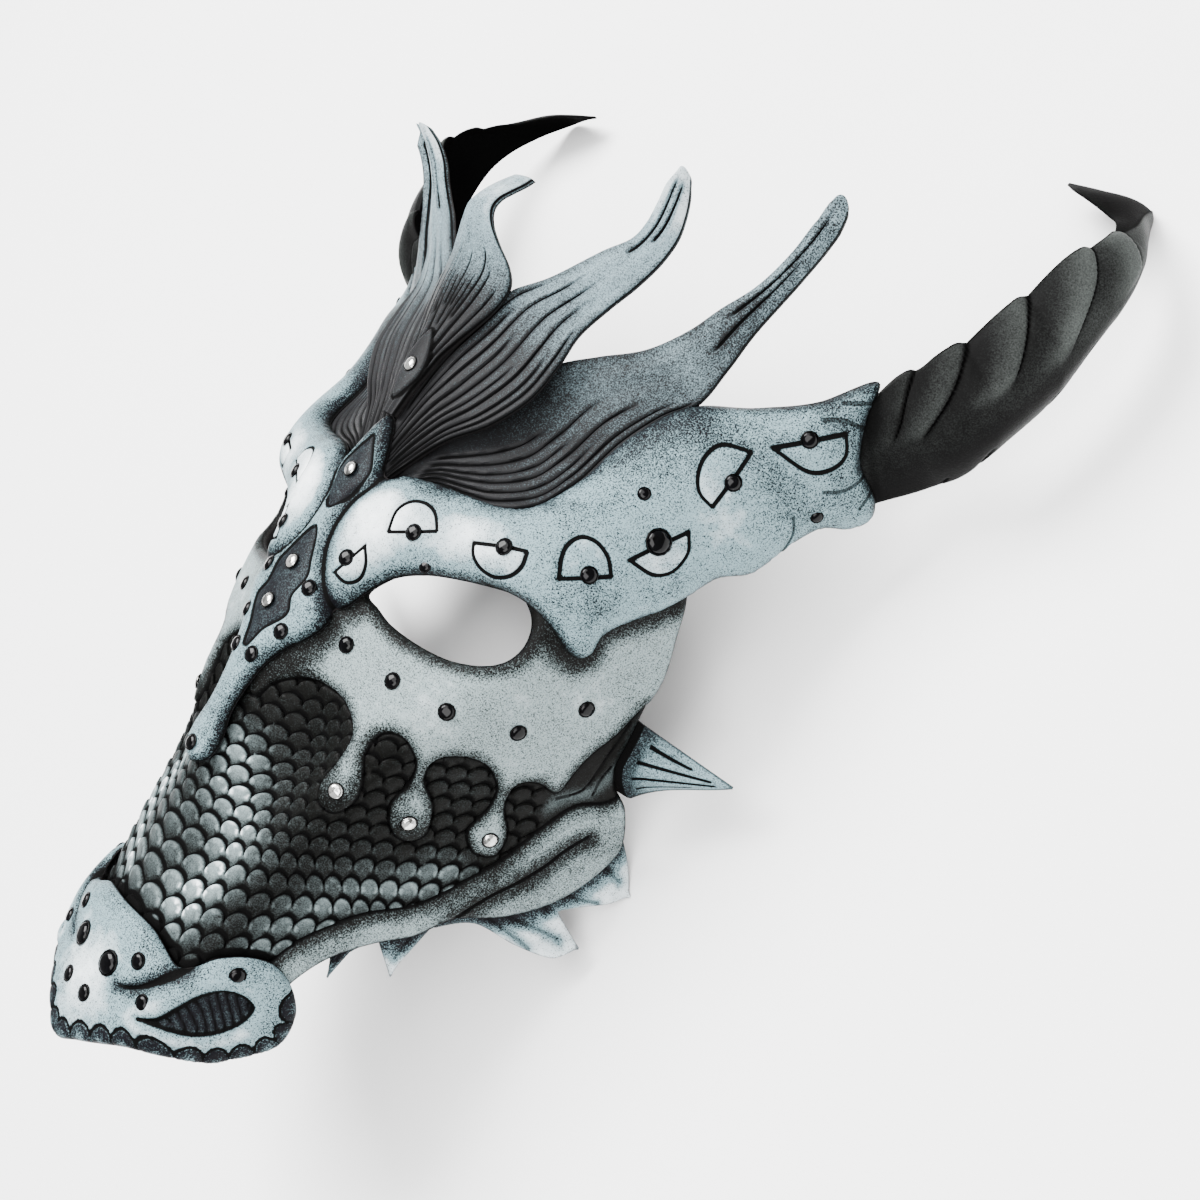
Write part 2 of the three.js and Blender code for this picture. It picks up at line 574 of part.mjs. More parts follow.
// A fluted spike like half of a cone, whose root lies along the cut edge at the back of the cheek
const CHEEK_SPIKE = {
  root: [[118.3, -16.5], [119.8, -28], [120.9, -35.6], [124.6, -40.4], [128, -42.5]],
  rootHeight: 1,
  tip: new THREE.Vector3(112, -23.6, -88),
  blunt: 0.97,
  swell: 6,
  out: new THREE.Vector3(0.25, -0.1, 1).normalize(),
  flute: 0.35,
};
function cheekSpike() {
  const { root, rootHeight, tip, blunt, swell, out, flute } = CHEEK_SPIKE;
  const rootEdge = through(root.map(([s, y]) => onForm(s, y, rootHeight)));
  const face = (t, u, depth) => {
    const arch = 1 - (2 * u - 1) ** 2;
    const grow = (1 - t) * THREE.MathUtils.smoothstep(t, 0.06, 0.3);
    const lift = (swell * arch + flute * Math.cos(6 * Math.PI * u)) * grow - depth * (1 - 0.7 * t);
    return rootEdge.getPoint(u).lerp(tip, t * blunt).addScaledVector(out, lift);
  };
  return sheet(5, 6, (t, u) => face(t, u, 0), (t, u) => face(t, u, THIN_LEATHER));
}

// A flat-backed cut stone, glued on where its centre stands on the leather
const STONE = { table: 0.58, height: 0.42, sides: 6 };
function stone(radius) {
  const height = STONE.height * radius;
  const geometry = new THREE.CylinderGeometry(STONE.table * radius, radius, height, STONE.sides);
  return geometry.translate(0, height / 2, 0).rotateX(Math.PI / 2);
}

function addStone(name, s, y, height, radius, material) {
  const seat = onForm(s, y, height);
  const normal = onForm(s, y, height + 1).sub(seat);
  const mesh = new THREE.Mesh(stone(radius), material);
  mesh.name = name;
  mesh.position.copy(seat);
  mesh.quaternion.setFromUnitVectors(new THREE.Vector3(0, 0, 1), normal);
  mask.add(mesh);
}

function addStonePair(name, s, y, height, radius, material) {
  addStone(`${name}_left`, s, y, height, radius, material);
  addStone(`${name}_right`, -s, y, height, radius, material);
}

// The top of an upper layer under a stone, with room for the stone's rim where the layer slopes
const STONE_LIFT = 0.35;
function upperTop(shape, s, y, radius, puff, roll) {
  const top = UPPER_BASE + UPPER_THICKNESS + puffAt(shape, s, y, puff, roll);
  return top + GAP + STONE_LIFT * radius;
}
const browTop = (s, y, radius) => upperTop(browShape, s, y, radius, BROW_PUFF, BROW_ROLL);
const capTop = (s, y, radius) => upperTop(capShape, s, y, radius, CAP_PUFF, CAP_ROLL);

function stones() {
  const onFace = LEATHER + 2 * GAP;
  CLEAR_ON_FACE.forEach(([s, y], i) => {
    addStonePair(`drop_stone_${i + 1}`, s, y, onFace, MEDIUM_STONE, clearStone);
  });
  BLACK_ON_CHEEK.forEach(([s, y], i) => {
    addStonePair(`cheek_stone_${i + 1}`, s, y, onFace, MEDIUM_STONE, blackStone);
  });
  BLACK_ON_BROW.forEach(([s, y, r], i) => {
    addStonePair(`brow_stone_${i + 1}`, s, y, browTop(s, y, r), r, blackStone);
  });
  CLEAR_ON_MIDLINE.forEach(([s, y], i) => {
    addStone(`midline_stone_${i + 1}`, s, y, browTop(s, y, 0), MEDIUM_STONE, clearStone);
  });
  addStone('tab_stone', ...BLACK_ON_TAB, browTop(...BLACK_ON_TAB, 0), MEDIUM_STONE, blackStone);
  BLACK_ON_NOSE.forEach(([s, y, r], i) => {
    addStonePair(`nose_stone_${i + 1}`, s, y, capTop(s, y, r), r, blackStone);
  });
}

add('face_shell', faceShell(), scaledLeather);
add('brow_plate', browPlate(), silverLeather);
add('nose_cap', noseCap(), silverLeather);
add('crest_tongue', tongue(), darkLeather);
addPair('crest_inner_spike', spike(INNER_SPIKE, 9), darkLeather);
addPair('crest_outer_spike', spike(OUTER_SPIKE, 10), darkLeather);
addPair('horn', horn(), darkLeather);
addPair('jaw_frill', frill(), silverLeather);
addPair('cheek_spike', cheekSpike(), silverLeather);
stones();

// The mask lies on the frill tips under the jaw and on the backs of the horns, centred over the origin
const reach = new THREE.Box3().setFromObject(mask, true);
mask.position.set(0, -(reach.min.y + reach.max.y) / 2, -reach.min.z);

export default mask;
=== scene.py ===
from functools import partial

import bpy
import numpy as np
from mathutils import Matrix, Vector
from mathutils.geometry import delaunay_2d_cdt


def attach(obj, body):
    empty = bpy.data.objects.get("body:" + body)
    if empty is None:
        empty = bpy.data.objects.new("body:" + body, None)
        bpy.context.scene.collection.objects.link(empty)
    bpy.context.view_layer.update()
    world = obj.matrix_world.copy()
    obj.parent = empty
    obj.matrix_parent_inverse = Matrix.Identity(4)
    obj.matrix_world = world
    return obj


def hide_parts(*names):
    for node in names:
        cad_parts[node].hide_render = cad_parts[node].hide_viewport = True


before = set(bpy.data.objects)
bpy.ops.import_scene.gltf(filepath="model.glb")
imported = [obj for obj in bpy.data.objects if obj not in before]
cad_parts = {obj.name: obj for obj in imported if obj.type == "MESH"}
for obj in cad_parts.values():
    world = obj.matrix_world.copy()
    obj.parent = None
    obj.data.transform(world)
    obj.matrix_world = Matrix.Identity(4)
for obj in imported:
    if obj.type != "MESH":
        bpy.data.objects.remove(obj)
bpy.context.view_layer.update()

# Driving sizes, in millimetres
LEATHER = 3.0
THIN_LEATHER = 2.2
LAYER_GAP = 0.6
GAP = 0.35
UPPER_BASE = LEATHER + LAYER_GAP
UPPER_THICKNESS = 2.6
SMALL_STONE = 1.8
MEDIUM_STONE = 2.35
LARGE_STONE = 3.55
REST_TILT = np.radians(-3.82)
# How far the tilted mask is lifted so that it lies on the floor, centred over the origin
LIFT = np.array([0.0, 6.254, 107.036])

# The camera's place, and which way its right, its up and its back point, before the mask's rest tilt
CAMERA_PLACE = (370.0, -25.1, 251.9)
CAMERA_AXES = ((0.6306, 0.5059, -0.5885), (-0.3165, 0.8600, 0.4002), (0.7086, -0.0661, 0.7025))

# The form that the leather was moulded on, as cross-sections along the face: place along Y,
# height of the midline, width of the rounded crown, slope beside it in degrees,
# half width of the top, radius of the turn, slope of the side in degrees.
FORM = np.array([
    [-200, -19, 14, 16, 22, 12, 70],
    [-170, -16, 14, 18, 25, 12, 68],
    [-145, -14, 14, 18, 26, 12, 66],
    [-115, -10.5, 14, 18, 27, 14, 66],
    [-90, -7, 14, 20, 33, 16, 68],
    [-65, -5.5, 14, 22, 46, 16, 72],
    [-45, -5, 12, 21, 58, 16, 76],
    [-22, -5.5, 10, 20, 64, 16, 76],
    [5, -6, 12, 18, 60, 28, 74],
    [30, -5.5, 14, 26, 72, 30, 70],
    [55, -4.5, 16, 29, 84, 36, 68],
    [85, -3, 18, 29, 110, 30, 66],
    [120, -2, 18, 26, 120, 30, 64],
], float)
NOSE_HOLLOW = {"depth": 8, "across": 26, "along": -80, "wide": 15, "long": 27}


# Small shaping functions
def ease(value, low, high):
    """0 below low, 1 above high and a smooth S between them; low may be the larger of the two."""
    t = np.clip((value - low) / (high - low), 0, 1)
    return t * t * (3 - 2 * t)


def bump(value, width):
    """A bell that is 1 where value is 0 and fades over the given width."""
    return np.exp(-((value / width) ** 2))


def table_at(table, place):
    """A smooth curve through the rows of a table, whose first column is the place along it."""
    table = np.asarray(table, float)
    keys, rows = table[:, 0], table[:, 1:]
    slope = np.empty_like(rows)
    slope[1:-1] = (rows[2:] - rows[:-2]) / (keys[2:] - keys[:-2])[:, None]
    slope[0] = (rows[1] - rows[0]) / (keys[1] - keys[0])
    slope[-1] = (rows[-1] - rows[-2]) / (keys[-1] - keys[-2])
    i = np.clip(np.searchsorted(keys, place) - 1, 0, len(keys) - 2)
    step = (keys[i + 1] - keys[i])[..., None]
    t = np.clip((place - keys[i])[..., None] / step, 0, 1)
    blend = t * t * (3 - 2 * t)
    leave = t * (1 - t) ** 2 * step * slope[i]
    arrive = t * t * (t - 1) * step * slope[i + 1]
    return rows[i] * (1 - blend) + rows[i + 1] * blend + leave + arrive


def form_surface(across, along):
    """Each cross-section is a rounded crown, a sloping top, a turn of one radius and a steep side."""
    height, crown, top, half, radius, side = np.moveaxis(table_at(FORM, along), -1, 0)
    top, side = np.radians(top), np.radians(side)
    u = np.abs(across)
    curl = top / crown
    on_crown = np.minimum(u, crown)
    on_top = np.clip(u - crown, 0, half - crown)
    on_turn = np.clip(u - half, 0, radius * (side - top))
    on_side = np.maximum(u - half - radius * (side - top), 0)
    turned = top + on_turn / radius
    x = (np.sin(curl * on_crown) / curl + on_top * np.cos(top)
         + radius * (np.sin(turned) - np.sin(top)) + on_side * np.cos(side))
    fall = ((1 - np.cos(curl * on_crown)) / curl + on_top * np.sin(top)
            + radius * (np.cos(top) - np.cos(turned)) + on_side * np.sin(side))
    hollow = NOSE_HOLLOW["depth"] * bump(u - NOSE_HOLLOW["across"], NOSE_HOLLOW["wide"])
    hollow = hollow * bump(along - NOSE_HOLLOW["along"], NOSE_HOLLOW["long"])
    return np.stack([np.sign(across) * x, along + 0 * x, height - fall - hollow], -1)


def on_form(across, along, height):
    """Points that stand off the form by a height along the form's normal."""
    across, along, height = np.broadcast_arrays(*(np.asarray(v, float) for v in (across, along, height)))
    reach = 0.5
    across_way = form_surface(across + reach, along) - form_surface(across - reach, along)
    along_way = form_surface(across, along + reach) - form_surface(across, along - reach)
    normal = np.cross(across_way, along_way)
    normal /= np.linalg.norm(normal, axis=-1, keepdims=True)
    return form_surface(across, along) + normal * height[..., None]


# Curves
def curve_at(points, place, closed=False):
    """The centripetal smooth curve through points; place runs from 0 at the first to 1 at the last."""
    p = np.asarray(points, float)
    if closed:
        p = np.concatenate([p[-1:], p, p[:2]])
    else:
        p = np.concatenate([2 * p[:1] - p[1:2], p, 2 * p[-1:] - p[-2:-1]])
    spans = len(p) - 3
    along = np.clip(np.asarray(place, float) * spans, 0, spans - 1e-9)
    i = along.astype(int)
    t = (along - i)[..., None]
    a, b, c, d = p[i], p[i + 1], p[i + 2], p[i + 3]
    gap = [np.linalg.norm(q - r, axis=-1, keepdims=True) ** 0.5 + 1e-9 for q, r in ((b, a), (c, b), (d, c))]
    leave = ((b - a) / gap[0] - (c - a) / (gap[0] + gap[1]) + (c - b) / gap[1]) * gap[1]
    arrive = ((c - b) / gap[1] - (d - b) / (gap[1] + gap[2]) + (d - c) / gap[2]) * gap[1]
    second = -3 * b + 3 * c - 2 * leave - arrive
    third = 2 * b - 2 * c + leave + arrive
    return b + leave * t + second * t**2 + third * t**3


def walk(points, spacing, closed=True):
    """The smooth curve through points, as places at an even spacing along it."""
    fine = curve_at(points, np.linspace(0, 1, 24 * len(points) + 1), closed)
    run = np.concatenate([[0], np.cumsum(np.linalg.norm(np.diff(fine, axis=0), axis=1))])
    count = max(4, int(round(run[-1] / spacing)))
    at = np.linspace(0, run[-1], count + 1)
    even = np.stack([np.interp(at, run, fine[:, k]) for k in range(fine.shape[1])], -1)
    return even[:-1] if closed else even


def both_sides(half):
    """An outline drawn from the midline round to the midline, with its mirror image."""
    half = np.asarray(half, float)
    rest = half[half[:, 0] > 0][::-1] * [-1, 1]
    return np.concatenate([half, rest])


def mirror(path):
    """The path on the other side of the midline, in the other order, so that it runs round the same way."""
    return np.asarray(path, float)[::-1] * [-1, 1]


def with_mirror(lines):
    """The lines and their mirror images."""
    return lines + [np.asarray(line, float) * [-1, 1] for line in lines]


def pointed(outline, tips, near=0.12):
    """The outline with two more places close to each tip, so that the smooth curve keeps it sharp."""
    result = []
    for i, place in enumerate(outline):
        neighbours = outline[i - 1], outline[(i + 1) % len(outline)]
        before, after = [[(1 - near) * place[k] + near * other[k] for k in (0, 1)] for other in neighbours]
        result += [before, place, after] if place in tips else [place]
    return result


def distance(across, along, paths):
    """Shortest distance from each place to the straight runs of the paths, taken in blocks."""
    starts = np.concatenate([p[:-1] for p in paths])
    runs = np.concatenate([np.diff(p, axis=0) for p in paths])
    size = (runs**2).sum(1)
    result = np.empty(len(across))
    block = max(1, 1500000 // len(starts))
    for first in range(0, len(across), block):
        part = slice(first, first + block)
        ds = across[part, None] - starts[:, 0]
        dy = along[part, None] - starts[:, 1]
        t = np.clip((ds * runs[:, 0] + dy * runs[:, 1]) / size, 0, 1)
        gap = (ds - t * runs[:, 0]) ** 2 + (dy - t * runs[:, 1]) ** 2
        result[part] = np.sqrt(gap.min(1))
    return result


def line_distance(across, along, lines, spacing=1.0):
    """Shortest distance from each place to the smooth curves through the lines' points."""
    return distance(across, along, [walk(line, spacing, False) for line in lines])


def loop(points, spacing=1.5):
    """A closed curve whose last place repeats its first, for distances and inside tests."""
    path = walk(points, spacing)
    return np.concatenate([path, path[:1]])


def inside(across, along, path):
    """True where a line drawn to the side crosses the closed path an odd number of times."""
    result = np.zeros(len(across), bool)
    a, b = path[:-1], path[1:]
    rise = np.where(b[:, 1] == a[:, 1], 1e-9, b[:, 1] - a[:, 1])
    block = max(1, 1500000 // len(a))
    for first in range(0, len(across), block):
        part = slice(first, first + block)
        x, y = across[part, None], along[part, None]
        spans = (a[:, 1] > y) != (b[:, 1] > y)
        beyond = x < a[:, 0] + (y - a[:, 1]) * (b[:, 0] - a[:, 0]) / rise
        result[part] = (spans & beyond).sum(1) % 2 == 1
    return result


# Pieces
MILLIMETRE = 0.001


def to_row(points):
    """From the mask's own millimetres to the row frame in metres: the rest tilt, then the lift."""
    turn = np.array(Matrix.Rotation(REST_TILT, 3, "X"))
    return (points @ turn.T + LIFT) * MILLIMETRE


def leather_piece(name, points, face_sets, finish, nodes, marks=None, sharp=50):
    """A mesh from points in the mask's own millimetres, its faces, and marks that the finish reads."""
    mesh = bpy.data.meshes.new(name)
    mesh.vertices.add(len(points))
    mesh.vertices.foreach_set("co", to_row(points).astype(np.float32).ravel())
    corners = np.concatenate([np.asarray(f).ravel() for f in face_sets]).astype(np.int32)
    sizes = np.concatenate([np.full(len(f), np.shape(f)[1]) for f in face_sets])
    mesh.loops.add(len(corners))
    mesh.loops.foreach_set("vertex_index", corners)
    mesh.polygons.add(len(sizes))
    mesh.polygons.foreach_set("loop_start", np.concatenate([[0], np.cumsum(sizes)[:-1]]).astype(np.int32))
    for mark, values in (marks or {}).items():
        layer = mesh.attributes.new(mark, "FLOAT", "POINT")
        layer.data.foreach_set("value", np.ascontiguousarray(values, np.float32))
    mesh.update(calc_edges=True)
    mesh.validate()
    if sharp:
        mesh.polygons.foreach_set("use_smooth", np.ones(len(mesh.polygons), bool))
        mesh.set_sharp_from_angle(angle=np.radians(sharp))
    mesh.materials.append(finish)
    piece = bpy.data.objects.new(name, mesh)
    bpy.context.scene.collection.objects.link(piece)
    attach(piece, "root")
    if nodes:
        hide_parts(*nodes)
    return piece


def mirrored(points, face_sets):
    """The same piece on the other side, its faces turned round so that they still point outwards."""
    return points * [-1, 1, 1], [np.asarray(f)[:, ::-1] for f in face_sets]


# Flat patterns cut from leather
def thin_out(points, cell):
    """Keeps one point in each small square, so that no two stand almost on each other."""
    keys = np.floor(points / cell).astype(int)
    keep = np.unique(keys, axis=0, return_index=True)[1]
    return points[np.sort(keep)]


def clear_of(points, taken, cell):
    """Leaves out the points whose square, or one beside it, already holds a taken point."""
    if len(taken) == 0:
        return points
    low = np.minimum(points.min(0), taken.min(0)) - 2 * cell
    at = ((taken - low) / cell).astype(int)
    to = ((points - low) / cell).astype(int)
    held = np.zeros(np.maximum(at.max(0), to.max(0)) + 3, bool)
    for i in (-1, 0, 1):
        for j in (-1, 0, 1):
            held[at[:, 0] + i, at[:, 1] + j] = True
    return points[~held[to[:, 0], to[:, 1]]]


def honeycomb(low, high, spacing):
    """Evenly spread points in rows that are shifted by half a step in turn."""
    row = spacing * 3**0.5 / 2
    y = np.arange(low[1], high[1], row)
    x = np.arange(low[0], high[0], spacing)
    grid_x, grid_y = np.meshgrid(x, y)
    grid_x = grid_x + (np.arange(len(y)) % 2)[:, None] * spacing / 2
    return np.stack([grid_x.ravel(), grid_y.ravel()], -1)


# Extra points are thinned to one in a square of this size, and count as a grid of this spacing
EXTRA_CELL = 0.3
EXTRA_STEP = 0.45
# How close two points may stand, and how close to a ring, as shares of the grid's spacing
POINTS_APART = 0.62
RING_APART = 0.55


def spread(rings, spacing, extra=None, fine=None):
    """Points inside the first ring and outside the others: the extra ones, then finer and coarser grids.
    The fine grid comes with the test that says where it is wanted."""
    low, high = rings[0].min(0), rings[0].max(0)
    found = np.zeros((0, 2))
    sets = [] if extra is None else [(thin_out(extra, EXTRA_CELL), EXTRA_STEP)]
    if fine is not None:
        wanted, fine_spacing = fine
        grid = honeycomb(low, high, fine_spacing)
        sets.append((grid[wanted(grid[:, 0], grid[:, 1])], fine_spacing))
    sets.append((honeycomb(low, high, spacing), spacing))
    closed = [np.concatenate([r, r[:1]]) for r in rings]
    coarse = [np.concatenate([r[::3], r[:1]]) for r in rings]
    for points, step in sets:
        points = clear_of(points, found, step * POINTS_APART)
        points = points[inside(points[:, 0], points[:, 1], coarse[0])]
        for hole in coarse[1:]:
            points = points[~inside(points[:, 0], points[:, 1], hole)]
        points = points[distance(points[:, 0], points[:, 1], coarse) > min(step, 1.2) * RING_APART]
        found = np.concatenate([found, points])
    return found, closed


def triangles(points, rings, closed):
    """Joins the points into triangles that follow the rings, which are the first points, and leaves the
    holes open: a triangle whose corners are all on rings stays only if its middle is in the leather."""
    edges = []
    first = 0
    for ring in rings:
        ids = np.arange(first, first + len(ring))
        edges.append(np.stack([ids, np.roll(ids, -1)], -1))
        first += len(ring)
    places = [Vector(p) for p in points.tolist()]
    result = delaunay_2d_cdt(places, np.concatenate(edges).tolist(), [], 0, 1e-6, True)
    source = np.array([ids[0] for ids in result[3]])
    tri = source[np.array(result[2])]
    centre = points[tri].mean(1)
    rim_only = (tri < first).all(1)
    good = np.ones(len(tri), bool)
    test = centre[rim_only]
    kept = inside(test[:, 0], test[:, 1], closed[0])
    for hole in closed[1:]:
        kept &= ~inside(test[:, 0], test[:, 1], hole)
    good[rim_only] = kept
    tri = tri[good]
    a, b, c = points[tri[:, 0]], points[tri[:, 1]], points[tri[:, 2]]
    turn = (b - a)[:, 0] * (c - a)[:, 1] - (b - a)[:, 1] * (c - a)[:, 0]
    tri[turn < 0] = tri[turn < 0][:, ::-1]
    return tri


def wound(path, left=True):
    """The path run round its inside, anticlockwise for an edge and clockwise for a hole."""
    turned = (path[:, 0] * np.roll(path[:, 1], -1) - np.roll(path[:, 0], -1) * path[:, 1]).sum() > 0
    return path if turned == left else path[::-1]


# Spacing of the points along a cut edge and over a plain back
EDGE_SPACING = 0.8
BACK_SPACING = 5.0


def cut_leather(outline, holes, relief, under, spacing, extra=None, fine=None):
    """A flat pattern with a finely modelled face, a plain back and an edge between them, bent onto
    the form. relief(across, along) gives the height of the face, its silver, its cavities and how
    smoothly it is rubbed; under(across, along) gives the height of the back."""
    rings = [wound(walk(outline, EDGE_SPACING))] + [wound(walk(h, EDGE_SPACING), False) for h in holes]
    edge = np.concatenate(rings)
    face_points, closed = spread(rings, spacing, extra, fine)
    back_points, closed = spread(rings, BACK_SPACING)
    face = np.concatenate([edge, face_points])
    back = np.concatenate([edge, back_points])
    height, silver, cavity, smooth = relief(face[:, 0], face[:, 1])
    low = under(back[:, 0], back[:, 1])
    top = on_form(face[:, 0], face[:, 1], height)
    bottom = on_form(back[:, 0], back[:, 1], low)
    count = len(face)
    sets = [triangles(face, rings, closed), triangles(back, rings, closed)[:, ::-1] + count]
    first = 0
    for ring in rings:
        ids = np.arange(first, first + len(ring))
        ahead = np.roll(ids, -1)
        sets.append(np.stack([ids + count, ahead + count, ahead, ids], -1))
        first += len(ring)
    nothing = np.zeros(len(back))
    marks = {
        "silver": np.concatenate([silver, nothing]),
        "cavity": np.concatenate([cavity, nothing]),
        "smooth": np.concatenate([smooth, nothing]),
        "inner": np.concatenate([np.zeros(count), np.ones(len(back))]),
    }
    return np.concatenate([top, bottom]), sets, marks


def beside(path, offsets=(-0.85, -0.4, 0.4, 0.85), spacing=0.6, closed=False):
    """Points along a tooled line and on both sides of it, so that the mesh can follow the cut."""
    line = walk(path, spacing, closed)
    way = np.gradient(line, axis=0)
    side = np.stack([-way[:, 1], way[:, 0]], -1) / np.linalg.norm(way, axis=1, keepdims=True)
    return np.concatenate([line + side * o for o in offsets])


# Outlines on the flat pattern: distance across the leather from the midline, place along the face
EYE_HOLE = [
    [23, -29], [28, -31], [34, -33], [46, -34], [58, -33], [66, -30], [71.5, -25], [73.5, -18.5],
    [71.5, -11.5], [65, -7], [56, -6.5], [46, -9.5], [35, -14], [28, -20.5],
]
FACE_HALF = [
    [0, -5], [14, -6], [24, -2], [34, 1], [50, 2], [62, 7], [74, 14], [88, 20], [101, 22], [108, 15],
    [113, 5], [117, -6], [117.5, -16], [119, -28], [120, -36], [124, -41], [130, -45], [135, -55],
    [132, -65], [123, -79], [110, -90], [93, -99], [85, -108], [75, -115], [64, -125], [57, -136],
    [53, -148], [42, -154], [22, -156], [0, -156],
]
# The silver cheek ends in hanging drops; scales, and a dark band at the back, fill the rest
SCALED_HALF = [
    [0, -66], [6, -71], [10, -64], [18, -58], [28, -57], [36, -59.5], [41.5, -65], [41, -74],
    [39, -80], [40, -85], [45, -86.5], [50, -82], [50.5, -75], [48, -67], [50, -60], [56, -57.5],
    [61.5, -61], [63, -68], [61, -76], [65, -83], [71, -83.5], [74.5, -79], [72.5, -71], [66, -65],
    [66, -59], [71, -54.5], [81, -52.5], [88, -57], [88.5, -64], [86, -73], [91, -77.5], [97.5, -75],
    [97.5, -68], [92.5, -61], [93, -53.5], [99, -50], [106, -50], [107.6, -43], [109, -36.7], [113, -27],
    [117, -15], [123, -15], [124, -34], [126, -41.5], [122.8, -46], [114.5, -50.7], [109.6, -57.3],
    [105.4, -65], [100.5, -75], [94.8, -83.5], [82.5, -99], [68, -109], [59, -118], [52, -127],
    [48, -136], [44, -146], [30, -149], [0, -149],
]
BROW_HALF = [
    [0, 20], [2.8, 17], [6, 9.5], [8.5, 3.5], [11, 3], [16, 6], [26, 8], [38, 9], [47, 10], [54, 12],
    [58.5, 16], [62, 24], [67, 43], [74, 56], [81, 63], [96, 70], [110, 79.5], [122, 92], [123, 82],
    [127, 74], [138, 68], [139.5, 64], [135, 58], [128, 54], [124, 48.5], [120, 39], [117, 32], [109, 25],
    [106, 18], [102, 10], [96, 3], [90, -5.5], [90, -11], [87.5, -14], [83, -14], [77, -11], [71, -9],
    [65, -8.5], [57, -10], [46, -13], [38, -16], [30, -21], [24, -29], [21, -35], [17.5, -38], [18, -41],
    [16, -46], [11, -52.5], [6.5, -61], [4.5, -70], [4, -78], [5.5, -87], [4.5, -93], [0, -96],
]
NOSE_CAP_HALF = [
    [0, -141.5], [14, -142], [27, -146], [30, -144], [35, -137.5], [42, -134], [49, -133], [56, -136],
    [61, -142], [62, -148], [61, -153], [57, -157.5], [51, -162], [45, -166], [33, -169.5], [21, -175],
    [9, -181], [0, -185],
]
NOSTRIL = [
    [25, -163.8], [28.6, -160], [31, -154.5], [34, -148], [37, -144.8], [42, -143.2], [46.5, -143.6],
    [48.8, -145], [48.2, -149.5], [44.8, -154.3], [40.3, -158], [35, -160.6], [30.5, -162.2],
]
LENSES = [
    [[0, 12.5], [1.6, 10], [4.8, 4.7], [6.1, 1.3], [4.7, -6.5], [1.9, -11.4], [0, -13]],
    [[0, -19.5], [1.5, -21], [5.1, -29.3], [6.8, -33.6], [5.7, -40.5], [7.3, -45], [2.8, -52.6], [0, -59.5]],
]
TONGUE_LENS = [[0, 24.5], [3, 29.5], [4.4, 35], [3.6, 41.5], [0, 48.5]]
FRILL_PLACES = [
    [118, -60], [124, -50], [133, -51], [138, -56], [143, -62], [145.2, -68], [140, -74], [126, -83],
    [135, -88.5], [128, -95], [117, -98], [102, -98], [90, -105], [84, -123], [76, -115], [70, -122],
    [67, -132], [65, -121], [78, -104], [92, -92], [108, -82], [118, -70],
]
FRILL_TIPS = [
    [145.2, -68], [126, -83], [135, -88.5], [90, -105], [84, -123], [76, -115], [70, -122], [67, -132],
]
FRILL = pointed(FRILL_PLACES, FRILL_TIPS)
# The groove between the bridge strip and each brow lobe
CREVICE = [
    [9.5, 4.5], [8.8, -1], [5.7, -8.5], [4.9, -16], [6.2, -23.2], [9.2, -29.3], [13.7, -34.5], [18.5, -38],
]
# Half discs tooled on the brow beside the stones
HALF_DISCS = [
    [[14.5, -28.5], [19.6, -17.2], [22.2, -21.5], [22.3, -26.2], [19.4, -29.2], [14.5, -28.5]],
    [[24.1, -10.5], [38.5, -3.6], [34.8, 0.2], [30.4, 1.3], [26, 0], [23.2, -4], [24.1, -10.5]],
    [[50.8, -1.6], [64.8, 2.6], [65.3, -1.2], [63.8, -4.6], [60.6, -6.5], [55.7, -6.3], [52.4, -4.4],
     [50.8, -1.6]],
    [[73, 1], [82.2, 8.8], [79.5, 12], [76, 13.2], [72.8, 12], [71.2, 8], [73, 1]],
    [[83.8, 14.6], [92, 31.4], [94.3, 25.5], [93.8, 19.2], [89.8, 15.6], [83.8, 14.6]],
    [[98.8, 60], [94.6, 40.8], [91, 41.6], [89.3, 44.6], [89, 50.4], [91.6, 56.2], [98.8, 60]],
    [[103.2, 64.2], [118.6, 77.8], [120.6, 74], [118.2, 69.4], [113.4, 65.6], [103.2, 64.2]],
]
# Each is cut as a straight side and a curved one
DISC_LINES = [disc[:2] for disc in HALF_DISCS] + [disc[1:] for disc in HALF_DISCS]
# Creases where the outer end of the brow is gathered like a sleeve
SLEEVE_CREASES = [
    [[115.5, 82.5], [122.3, 86.8]], [[112.7, 76.8], [117.5, 79.8], [122.6, 80.9]],
    [[119.6, 63.6], [125.2, 67.2], [129.6, 71.6]], [[134.4, 70.5], [132.4, 65.4]],
    [[115.7, 52.8], [119, 48.4], [120.1, 42.5]],
]
# A seam pressed along the brow's upper edge, beside the crest
BROW_SEAM = [[11, 1], [18, 4.6], [27, 6.2], [38, 7], [47, 8], [54.5, 10.2], [60, 15]]
# The leaf tooled on the jaw, and the smooth band behind it
JAW_LEAF_INSET = [
    [131, -47.5], [124, -49], [117.4, -53], [112.6, -59], [108.6, -66.4], [103.6, -76.4], [98.3, -85],
    [86.2, -100],
]
JAW_LEAF_VEIN = [[122.1, -56.9], [117.3, -63.5], [113.1, -71.3], [107.8, -79], [100.9, -87.5], [94.4, -97.1]]
# A painted sheen runs along this line of the band
BAND_RIDGE = [[119, -22], [120.5, -33], [117, -44], [108, -52], [102.5, -62], [99, -73], [92, -85]]
BAND_LINES = [
    [[115.4, -22], [115.4, -29], [115, -33.1], [114.8, -39.5], [113.7, -46], [107, -52]],
    [[118, -36], [117.2, -41], [117.6, -46]],
]
# Where the scales get painted highlights and sheen
SNOUT_RIDGE = [[9, -86], [15, -97], [20, -104], [23.5, -113], [21, -124], [17, -133]]
JAW_SHEEN = [[47, -131], [55, -119], [66, -107], [78, -99], [90, -86]]

